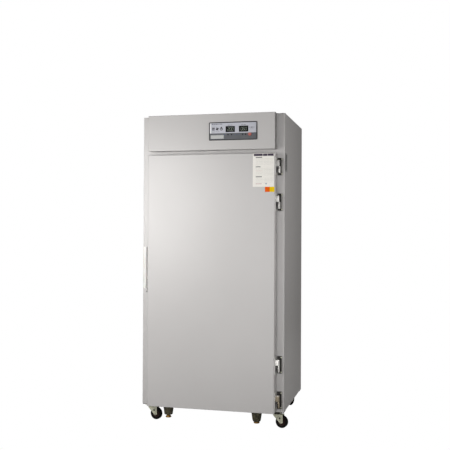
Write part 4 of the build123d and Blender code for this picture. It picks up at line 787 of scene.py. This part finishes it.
def timer_symbol(left, low, size):
    """A clock: a line along a circle's points middle + (r cos t, r sin t), two hands and a stem on top."""
    middle = (left + size / 2, low + size * 0.46)
    radius = size * 0.40
    thick = size * 0.18
    angle = np.linspace(0, 2 * math.pi, 40)
    return [
        line(middle[0] + radius * np.cos(angle), middle[1] + radius * np.sin(angle), thick),
        bar(middle[0] - thick / 2, middle[1], middle[0] + thick / 2, middle[1] + radius * 0.7),
        bar(middle[0], middle[1] - thick / 2, middle[0] + radius * 0.55, middle[1] + thick / 2),
        bar(middle[0] - thick, middle[1] + radius, middle[0] + thick, middle[1] + radius + thick * 1.5),
    ]


def bars(low, high, *spans):
    """Printed bars between two heights, each from its left to its right edge."""
    return [bar(left, low, right, high) for left, right in spans]


def rim(left, low, right, high, width, lift):
    """Four bars just inside a rectangle's edges."""
    return [
        bar(left, low, right, low + width, lift),
        bar(left, high - width, right, high, lift),
        bar(left, low + width, left + width, high - width, lift),
        bar(right - width, low + width, right, high - width, lift),
    ]


def display_centres():
    """Middles of the two displays across the panel, each half a window in from the windows' ends."""
    low, high, _, _ = extent("display_windows")
    return low[0] + DISPLAY_HALF_WIDTH, high[0] - DISPLAY_HALF_WIDTH


def print_on_fascia(name, grids, finish):
    """Puts one colour of printing on the front of the panel's film."""
    front = extent("panel_fascia")[0][1]
    make_piece(name, [facing(grid, 0, front, 0) for grid in grids], finish, "cabinet")


def make_bezel(edge):
    """The bezel's frame: a lipped profile round a rectangle, which is open in the middle."""
    low, high, _, half = extent("panel_bezel")
    depth = high[1] - low[1]
    lip = 5.5
    profile = [(0, 0), (0, depth - 1.4), (0.4, depth - 0.4), (1.4, depth), (lip - 2.0, depth),
               (lip - 1.2, depth - 0.3), (lip, depth - 2.0), (lip, 0)]
    bezel = moulded(half[0], half[2], edge, profile, 8)
    make_piece("panel_bezel_frame", [on_back(bezel, "panel_bezel")], "bezel_plastic", "cabinet",
               ("panel_bezel",), ring_rows=True)


def make_printing(join):
    """The panel's white stripe, blank plate, three symbols, and bars in place of its small words."""
    low, high, _, _ = extent("panel_fascia")
    margin = 0.6
    stripe = bar(low[0] + margin, join, low[0] + 7.5, high[2] - margin)
    print_on_fascia("panel_stripe", [stripe], "stripe_white")
    plate_middle = np.array([44.5, 1757.5])
    plate_half = np.array([41.0, 11.5])
    plate = moulded(*plate_half, 2.0, rounded(0.3, 0.2)) + (*plate_middle, 0)
    print_on_fascia("panel_blank_plate", [plate], "plate_grey")
    symbols = heat_symbol(12.0, 1798.0, 17)
    symbols += fan_symbol(35.5, 1797.0, 18.5) + timer_symbol(61.0, 1797.0, 18.5)
    print_on_fascia("panel_symbols", symbols, "symbol_ink")
    heading = bars(1833.2, 1837.0, (10, 22), (24, 31), (33, 49), (51, 58), (60, 76))
    over_displays = []
    for middle in display_centres():
        over_displays += bars(1826.0, 1828.4, (middle - 15, middle - 3), (middle, middle + 13))
    beside_displays = bars(1810.0, 1812.4, (243, 255), (264, 276)) + bars(1800.0, 1801.4, (246, 270))
    beside_displays += [disc((259.5, 1811.2), 3.6, 20)]
    under_symbols = bars(1788.6, 1789.8, (10, 32), (36, 58))
    rim_half = plate_half - (2.0, 1.6)
    plate_rim = rim(*(plate_middle - rim_half), *(plate_middle + rim_half), 0.6, 0.4)
    captions = heading + over_displays + beside_displays + under_symbols + plate_rim
    print_on_fascia("panel_captions", captions, "caption_ink")
    half_mark = 3.2
    keys = [extent(node)[2][0] for node in SET_KEYS]
    marks = bars(1758.5, 1760.1, *((middle - half_mark, middle + half_mark) for middle in keys))
    print_on_fascia("panel_key_marks", marks, "caption_ink")


def make_figures(readings, height, pitch):
    """The displays' figures, each number centred on its window."""
    low, _, window, _ = extent("display_windows")
    figures = []
    for centre, reading in zip(display_centres(), readings):
        start = centre - pitch * len(reading) / 2 + pitch * 0.12
        for place, figure in enumerate(reading):
            figures += digit(figure, start + place * pitch, window[2] - height / 2, height)
    placed = [facing(grid, 0, low[1], 0) for grid in figures]
    make_piece("display_figures", placed, "digit_green", "cabinet")


def make_lamps():
    """Four domed lenses, each a profile carried round its own axis."""
    _, high, middle, _ = extent("indicator_lamps")
    dome = turned([(0, 0), (2, 0), (2, 2.6), (1.75, 3.1), (1.2, 3.4), (0, 3.5)], 24)
    lenses = [facing(dome, centre, high[1], middle[2]) for centre in LAMP_CENTRES]
    make_piece("lamp_lenses", lenses, "lamp_blue", "cabinet", ("indicator_lamps",))


def make_buttons():
    """Four rounded key caps, and the round power button with its dished face."""
    for number, node in enumerate(SET_KEYS, start=1):
        low, high, _, half = extent(node)
        key = moulded(half[0], half[2], 1.6, rounded(high[1] - low[1], 0.6))
        make_piece(f"set_key_cap_{number}", [on_back(key, node)], "key_plastic", f"key_{number}", (node,))
    low, high, _, half = extent("power_button")
    reach = high[1] - low[1]
    radius = half[0]
    profile = [(0, 0), (radius, 0), (radius, reach - 1.6), (radius - 0.5, reach - 0.5), (radius - 1.5, reach),
               (radius - 2.6, reach - 0.1), (radius * 0.5, reach - 0.9), (0, reach - 1.1)]
    cap = on_back(turned(profile, 64), "power_button")
    make_piece("power_button_cap", [cap], "red_plastic", "power_button", ("power_button",))


class STERILIZER_OT_control_panel(bpy.types.Operator):
    """Makes the bezel, printing, displays' figures, keys, lamps and power button of the panel"""

    bl_idname = "sterilizer.control_panel"
    bl_label = "Dress the control panel"

    def execute(self, context):
        settings = context.scene.sterilizer_panel
        make_bezel(settings.bezel_edge)
        make_printing(context.scene.sterilizer_finishes.band_join)
        readings = (settings.first_reading, settings.second_reading)
        make_figures(readings, settings.digit_height, settings.digit_pitch)
        make_lamps()
        make_buttons()
        return {"FINISHED"}


# ---------------------------------------------------------------- door


def print_on_card(name, places, finish, lift=CARD_LIFT):
    """Prints bars on the log card, each by its left, top, right and low edge from the card's top left."""
    low, high, _, _ = extent("log_card")
    grids = [bar(low[0] + left, high[2] - down, low[0] + right, high[2] - top, lift)
             for left, top, right, down in places]
    make_piece(name, [facing(grid, 0, low[1], 0) for grid in grids], finish, "door")


class STERILIZER_OT_log_card(bpy.types.Operator):
    """Makes the door's laminated log card with its ruled form, and the two blank labels under it"""

    bl_idname = "sterilizer.log_card"
    bl_label = "Make the log card"

    def execute(self, context):
        low, high, _, half = extent("log_card")
        sheet = moulded(half[0], half[2], 3.0, rounded(high[1] - low[1], 0.3))
        make_piece("log_card_sheet", [on_back(sheet, "log_card")], "card", "door", ("log_card",))
        header = [(6, 2, 60, 15.5), (62.5, 2, 88, 15.5), (90, 2, 127, 15.5)]
        print_on_card("card_header", header, "header_ink")
        headings = [(18, 21.5, 57, 26), (18, 78, 47, 82.5), (18, 137.5, 55, 142)]
        print_on_card("card_headings", headings, "heading_ink")
        rules = []
        pitch = 8.0
        thick = 0.7
        for start, count in ((32, 5), (89, 6), (148, 4)):
            for top in start + pitch * np.arange(count):
                rules += [(18, top, 62, top + thick), (66, top, 124, top + thick)]
        print_on_card("card_rules", rules, "rule_ink", 0.06)
        pink = [(18, 104, 60, 105.6), (18, 180, 56, 183.5), (66, 178, 92, 179)]
        print_on_card("card_pink_lines", pink, "pink_ink", 0.08)
        dot = disc((low[0] + 81, high[2] - 182), 3.6, 24, CARD_LIFT)
        make_piece("card_blue_dot", [facing(dot, 0, low[1], 0)], "blue_ink", "door")
        door_front = extent("door_skin")[0][1]
        label_height = 1436.4
        label = moulded(14.4, 15.2, 1.5, rounded(0.35, 0.15))
        for colour, centre in (("orange", 355.0), ("yellow", 384.0)):
            placed = facing(label, centre, door_front, label_height)
            make_piece(f"label_{colour}", [placed], f"{colour}_label", "door")
        return {"FINISHED"}


class STERILIZER_OT_hinges(bpy.types.Operator):
    """Makes the hinges' turned pins and their cross-slotted screws"""

    bl_idname = "sterilizer.hinges"
    bl_label = "Make the hinge pins and screws"

    def execute(self, context):
        _, high, middle, half = extent("hinge_pins")
        head = half[0]
        shank = 5
        pins = []
        for centre in HINGE_CENTRES:
            foot = centre - 40
            top = centre + high[2] - HINGE_CENTRES[-1]
            profile = [(0, foot), (shank - 0.6, foot), (shank, foot + 0.6), (shank, top - 3.3),
                       (head, top - 3.3), (head, top - 1.4), (head - 0.8, top - 0.5),
                       (head - 2.4, top - 0.1), (0, top)]
            pins.append(standing(turned(profile, 40), middle[0], middle[1]))
        make_piece("hinge_pins_turned", pins, "chrome", "cabinet", ("hinge_pins",))
        head_height = 1.5
        screw_rise = 44
        domed = [(0, 0), (4, 0), (4, 0.5), (3.6, 1.1), (2.9, 1.42), (2.5, head_height, 0.0),
                 (2.3, head_height, 1.0), (2.1, 0.5, 1.0), (0, 0.3)]
        heights = [centre + rise for centre in HINGE_CENTRES for rise in (-screw_rise, screw_rise)]
        for node, body, outward, across in (("hinge_screws_door", "door", RIGHT, BACKWARD),
                                            ("hinge_screws_frame", "cabinet", FORWARD, RIGHT)):
            _, _, middle, half = extent(node)
            seat = middle + outward * (abs(half @ outward) - head_height)
            heads = [screw_head(domed, (seat[0], seat[1], height), across, UP, outward, height * 7 % 90)
                     for height in heights]
            make_piece(node + "_heads", heads, "zinc_plate", body, (node,))
        return {"FINISHED"}


# ---------------------------------------------------------------- rear and top


class STERILIZER_OT_sheet_screws(bpy.types.Operator):
    """Makes the cross-slotted screws round the edges of the rear panel and the top panel"""

    bl_idname = "sterilizer.sheet_screws"
    bl_label = "Make the sheets' screws"

    def execute(self, context):
        washer = [(0, 0), (6.2, 0), (6.2, 0.7), (5.8, 1.0), (4.6, 1.0), (4.5, 1.5), (4.0, 2.3), (3.1, 2.8),
                  (2.7, 2.9, 0.0), (2.5, 2.9, 1.0), (2.2, 1.4, 1.0), (0, 1.1)]
        between = (-145.0, 145.0)
        margin = 11
        low, high, _, _ = extent("rear_panel")
        heights = np.linspace(low[2] + margin, high[2] - margin, 7)
        rear = [(x, high[1], height) for height in heights for x in (low[0] + margin, high[0] - margin)]
        rear += [(x, high[1], height) for x in between for height in (heights[0], heights[-1])]
        margin = 14
        front_margin = 60
        low, high, _, _ = extent("top_panel")
        depths = np.linspace(low[1] + front_margin, high[1] - margin, 4)
        top = [(x, depth, high[2]) for depth in depths for x in (low[0] + margin, high[0] - margin)]
        top += [(x, depths[-1], high[2]) for x in between]
        for name, seats, across, along, outward in (("rear_panel_screws", rear, LEFT, UP, BACKWARD),
                                                    ("top_panel_screws", top, RIGHT, BACKWARD, UP)):
            heads = [screw_head(washer, seat, across, along, outward, sum(seat) * 7 % 90) for seat in seats]
            make_piece(name, heads, "zinc_plate", "cabinet")
        return {"FINISHED"}


# ---------------------------------------------------------------- casters and feet


def tyre_profile(outer, hub, shoulder, half):
    """One tyre's ring from the hub out and back: its edges are quarter circles of radius shoulder."""
    angle = np.linspace(0, math.pi / 2, 6)
    edge = [(outer - shoulder * (1 - math.sin(a)), half - shoulder * (1 - math.cos(a))) for a in angle]
    side = [(hub, half - 3.4), (hub + 0.5, half - 2.4), (hub + 4, half - 1.8), (hub + 4.6, half - 0.8),
            (outer - shoulder - 0.6, half)] + edge + [(outer, half - shoulder - 2)]
    return side + [(outer, 0)] + mirrored(side)


def hub_profile(hub):
    """A hub's ring: a bearing collar, a dished web and a rim that the tyre sits on, and back."""
    side = [(4.2, 13.0), (7.2, 13.0), (8.0, 12.2), (8.4, 9.0), (10, 8.0), (hub - 5, 7.4), (hub - 3.6, 8.4),
            (hub - 1.6, 9.2), (hub + 0.2, 9.2)]
    return side + mirrored(side)


class STERILIZER_OT_casters(bpy.types.Operator):
    """Makes the four wheels, each a rubber tyre round a moulded hub, and dark discs on their forks, painted
    shade for a hole and the axle's end
    """

    bl_idname = "sterilizer.casters"
    bl_label = "Make the caster wheels"

    def execute(self, context):
        settings = context.scene.sterilizer_running
        half_width = 12.0
        cheek = 16.5  # from the wheel's middle to the fork's outer face
        nut = 4.5  # from that face to the end of the axle's nut
        hole_back = 8  # from the axle to the fork's hole, towards the swivel
        hole_rise = 21.5
        # Dark discs are painted shade standing for the fork's hole and the recess in the axle's end.
        hole = turned([(0, 0), (5.4, 0), (5.4, 0.25), (4.6, 0.3), (4.2, 0.12), (0, 0.1)], 32)
        axle_end = turned([(0, 0), (2.6, 0), (2.6, 0.12), (1.4, 0.3), (0, 0.35)], 24)
        hub = turned(hub_profile(settings.hub_radius), 72)
        for corner, degrees in CASTER_TURNS.items():
            _, _, middle, half = extent(f"caster_wheel_{corner}")
            turn = math.radians(degrees)
            trail = np.array([math.cos(turn), math.sin(turn), 0.0])
            axle = np.array([-math.sin(turn), math.cos(turn), 0.0])
            tyre = turned(tyre_profile(half[2], settings.hub_radius, settings.tyre_shoulder, half_width), 96)
            make_piece(f"tyre_{corner}", [laid(tyre, middle, trail, UP, axle)], "caster_rubber",
                       f"wheel_{corner}", (f"caster_wheel_{corner}",), ring_rows=True)
            make_piece(f"hub_{corner}", [laid(hub, middle, trail, UP, axle)], "hub_plastic",
                       f"wheel_{corner}", ring_rows=True)
            marks = []
            for outward in (-axle, axle):
                hole_seat = middle - trail * hole_back + UP * hole_rise + outward * cheek
                marks.append(laid(hole, hole_seat, trail, UP, outward))
                marks.append(laid(axle_end, middle + outward * (cheek + nut), trail, UP, outward))
            make_piece(f"fork_holes_{corner}", marks, "zinc_painted_shade", f"fork_{corner}")
        return {"FINISHED"}


class STERILIZER_OT_feet(bpy.types.Operator):
    """Makes the four levelling screws with their flared pads, and the skirt round one of them"""

    bl_idname = "sterilizer.feet"
    bl_label = "Make the levelling feet"

    def execute(self, context):
        pitch = context.scene.sterilizer_running.thread_pitch
        thread_start = 13.5
        crest, root = 8.0, 7.2
        flare = [(0, 0), (15.5, 0), (17.2, 0.8), (18, 2.6), (17.8, 4.6), (16.4, 6.6), (14.6, 9.0),
                 (13.4, 11.3), (12.4, 12.4), (crest, 12.4)]
        skirt = [(19.2, 42.0), (24.6, 42.0), (24.4, 40.4), (23.0, 37.6), (21.0, 34.6), (20.0, 33.6),
                 (19.2, 33.8)]
        for corner in CASTER_TURNS:
            low, high, middle, _ = extent(f"level_foot_{corner}")
            foot = low[2]
            top = high[2]
            heights = np.arange(foot + thread_start, top - pitch, pitch / 2)
            radii = np.where(np.arange(len(heights)) % 2, crest, root)
            rows = [(radius, foot + height) for radius, height in flare]
            rows += list(zip(radii, heights)) + [(7.0, top), (0, top)]
            screw = standing(turned(rows, 48), middle[0], middle[1])
            make_piece(f"foot_screw_{corner}", [screw], "foot_brass", f"foot_{corner}",
                       (f"level_foot_{corner}",))
            if corner == "front_right":
                collar = standing(turned(skirt, 56), middle[0], middle[1])
                make_piece(f"foot_skirt_{corner}", [collar], "hammered_paint", "cabinet", ring_rows=True)
        return {"FINISHED"}


# ---------------------------------------------------------------- door seal


class STERILIZER_OT_gasket(bpy.types.Operator):
    """Makes the door's bulb seal"""

    bl_idname = "sterilizer.gasket"
    bl_label = "Make the door gasket"

    def execute(self, context):
        low, _, middle, half = extent("door_gasket")
        bulb = [(1.0, 0), (0.2, 1.0), (1.6, 2.2), (0.6, 4.0), (2.0, 6.0), (5.2, 7.3), (10, 7.7), (14.8, 7.3),
                (18, 6.0), (19.4, 4.0), (18.4, 2.2), (19.8, 1.0), (19.0, 0)]
        ring = moulded(half[0], half[2], 22.0, bulb, 10)
        seal = laid(ring, (middle[0], low[1], middle[2]), LEFT, UP, BACKWARD)
        make_piece("door_seal", [seal], "silicone", "door", ("door_gasket",), crease=40.0, ring_rows=True)
        return {"FINISHED"}


# ---------------------------------------------------------------- stage


def shown_to_camera(tree, real, shown, output):
    """Mixes two shaders so that the camera sees the second and every other ray the first."""
    ray = tree.nodes.new("ShaderNodeLightPath")
    chosen = tree.nodes.new("ShaderNodeMixShader")
    tree.links.new(ray.outputs["Is Camera Ray"], chosen.inputs[0])
    tree.links.new(real.outputs[0], chosen.inputs[1])
    tree.links.new(shown.outputs[0], chosen.inputs[2])
    tree.links.new(chosen.outputs[0], tree.nodes[output].inputs["Surface"])


def make_floor(scene):
    """A square floor that lights the cabinet as pale matt paint does, and that the camera sees as white."""
    reach = 9
    material = bpy.data.materials.new("pale_floor")
    material.use_nodes = True
    tree = material.node_tree
    matt = tree.nodes["Principled BSDF"]
    matt.inputs["Base Color"].default_value = (0.38, 0.38, 0.375, 1)
    matt.inputs["Roughness"].default_value = 0.9
    shown_to_camera(tree, matt, tree.nodes.new("ShaderNodeEmission"), "Material Output")
    mesh = bpy.data.meshes.new("floor")
    corners = [(-reach, -reach, 0), (reach, -reach, 0), (reach, reach, 0), (-reach, reach, 0)]
    mesh.from_pydata(corners, [], [(0, 1, 2, 3)])
    mesh.materials.append(material)
    floor = bpy.data.objects.new("floor", mesh)
    floor.location.z = -0.0005
    scene.collection.objects.link(floor)


def make_room(scene, strength):
    """A pale room for the cabinet to reflect, which the camera sees as white."""
    world = bpy.data.worlds.new("pale_room")
    world.use_nodes = True
    scene.world = world
    tree = world.node_tree
    room = tree.nodes["Background"]
    room.inputs["Color"].default_value = (1, 0.99, 0.975, 1)
    room.inputs["Strength"].default_value = strength
    white = tree.nodes.new("ShaderNodeBackground")
    white.inputs["Color"].default_value = (1, 1, 1, 1)
    white.inputs["Strength"].default_value = 1.0
    shown_to_camera(tree, room, white, "World Output")


def make_lights(scene, settings):
    """Six square soft lights that face their targets.

    A light is tilted by the angle between up and the way from its target to it, and then turned
    about the vertical to that way.
    """
    # Name, power in W, size in m, place, target and colour.
    lights = (
        ("key_light", settings.key_power, 1.0, (-0.95, -1.8, 1.39), (-0.1, 0.0, 1.1), (1.0, 0.99, 0.97)),
        ("front_light", settings.front_power, 1.7, (0.3, -4.1, 0.8), (0.0, 0.0, 0.9), (1.0, 0.99, 0.985)),
        ("side_light", settings.side_power, 1.2, (2.3, -1.0, 1.55), (0.45, 0.0, 1.3), (1.0, 0.985, 0.96)),
        ("floor_card", settings.front_power / 3, 1.5, (0.0, -2.7, 0.02), (0.0, -2.7, 1.0), (1.0, 0.98, 0.95)),
        ("rear_light", settings.rear_power, 2.2, (-1.6, 3.4, 1.6), (0.0, 0.0, 1.0), (1.0, 0.99, 0.98)),
        ("top_light", settings.rear_power / 3, 2.0, (0.0, 0.6, 4.2), (0.0, 0.0, 1.9), (1.0, 0.99, 0.98)),
    )
    for name, power, size, place, target, colour in lights:
        light = bpy.data.lights.new(name, "AREA")
        light.energy = power
        light.size = size
        light.color = colour
        lamp = bpy.data.objects.new(name, light)
        scene.collection.objects.link(lamp)
        away = np.array(place) - np.array(target)
        lamp.location = place
        lamp.visible_camera = False
        lamp.visible_diffuse = name != "floor_card"
        lamp.visible_glossy = name not in ("side_light", "rear_light")
        lamp.rotation_euler = (math.acos(away[2] / np.linalg.norm(away)), 0, math.atan2(away[0], -away[1]))


def make_camera(scene, focal_length):
    """The camera, from its place and three turns in radians.

    It looks along (-sin yaw cos pitch, cos yaw cos pitch, -sin pitch), and its right and top
    directions are then rolled about that line.
    """
    place = (1.1915276, -4.7296634, 1.1750664)
    yaw, pitch, roll = 0.2476062, -0.0107602, 0.00466
    ahead = np.array([-math.sin(yaw) * math.cos(pitch), math.cos(yaw) * math.cos(pitch), -math.sin(pitch)])
    across = np.array([math.cos(yaw), math.sin(yaw), 0.0])
    above = np.cross(across, ahead)
    right = math.cos(roll) * across + math.sin(roll) * above
    top = math.cos(roll) * above - math.sin(roll) * across
    lens = bpy.data.cameras.new("camera")
    lens.lens = focal_length
    lens.sensor_width = 36
    camera = bpy.data.objects.new("camera", lens)
    scene.collection.objects.link(camera)
    matrix = np.eye(4)
    matrix[:3] = np.column_stack([right, top, -ahead, place])
    camera.matrix_world = Matrix(matrix.tolist())
    scene.camera = camera


class STERILIZER_OT_stage(bpy.types.Operator):
    """Sets the pale floor, the soft lights and the camera"""

    bl_idname = "sterilizer.stage"
    bl_label = "Set the stage"

    def execute(self, context):
        scene = context.scene
        settings = scene.sterilizer_stage
        make_floor(scene)
        make_room(scene, settings.sky)
        make_lights(scene, settings)
        make_camera(scene, settings.lens)
        scene.view_settings.view_transform = "Standard"
        scene.view_settings.look = "None"
        return {"FINISHED"}


# ---------------------------------------------------------------- sidebar and start


GROUPS = {
    "sterilizer_finishes": SterilizerFinishes,
    "sterilizer_panel": SterilizerPanel,
    "sterilizer_running": SterilizerRunning,
    "sterilizer_stage": SterilizerStage,
}
STEPS = (
    STERILIZER_OT_finishes,
    STERILIZER_OT_control_panel,
    STERILIZER_OT_log_card,
    STERILIZER_OT_hinges,
    STERILIZER_OT_sheet_screws,
    STERILIZER_OT_casters,
    STERILIZER_OT_feet,
    STERILIZER_OT_gasket,
    STERILIZER_OT_stage,
)


class STERILIZER_PT_sidebar(bpy.types.Panel):
    """Lists the cabinet's settings and steps"""

    bl_idname = "STERILIZER_PT_sidebar"
    bl_label = "Dry heat sterilizer"
    bl_space_type = "VIEW_3D"
    bl_region_type = "UI"
    bl_category = "Sterilizer"

    def draw(self, context):
        for group in GROUPS:
            box = self.layout.box()
            settings = getattr(context.scene, group)
            for name in settings.__annotations__:
                box.prop(settings, name)
        for step in STEPS:
            self.layout.operator(step.bl_idname)


def register():
    """Adds the settings, the steps and the sidebar's panel to the program"""
    for group in GROUPS.values():
        bpy.utils.register_class(group)
    for name, group in GROUPS.items():
        setattr(bpy.types.Scene, name, PointerProperty(type=group))
    for step in STEPS:
        bpy.utils.register_class(step)
    bpy.utils.register_class(STERILIZER_PT_sidebar)


def unregister():
    """Takes away what register added, in the opposite order"""
    bpy.utils.unregister_class(STERILIZER_PT_sidebar)
    for step in reversed(STEPS):
        bpy.utils.unregister_class(step)
    for name, group in GROUPS.items():
        delattr(bpy.types.Scene, name)
        bpy.utils.unregister_class(group)


def main():
    """Runs every step in order"""
    register()
    bpy.ops.sterilizer.finishes()
    bpy.ops.sterilizer.control_panel()
    bpy.ops.sterilizer.log_card()
    bpy.ops.sterilizer.hinges()
    bpy.ops.sterilizer.sheet_screws()
    bpy.ops.sterilizer.casters()
    bpy.ops.sterilizer.feet()
    bpy.ops.sterilizer.gasket()
    bpy.ops.sterilizer.stage()


if __name__ == "__main__":
    main()
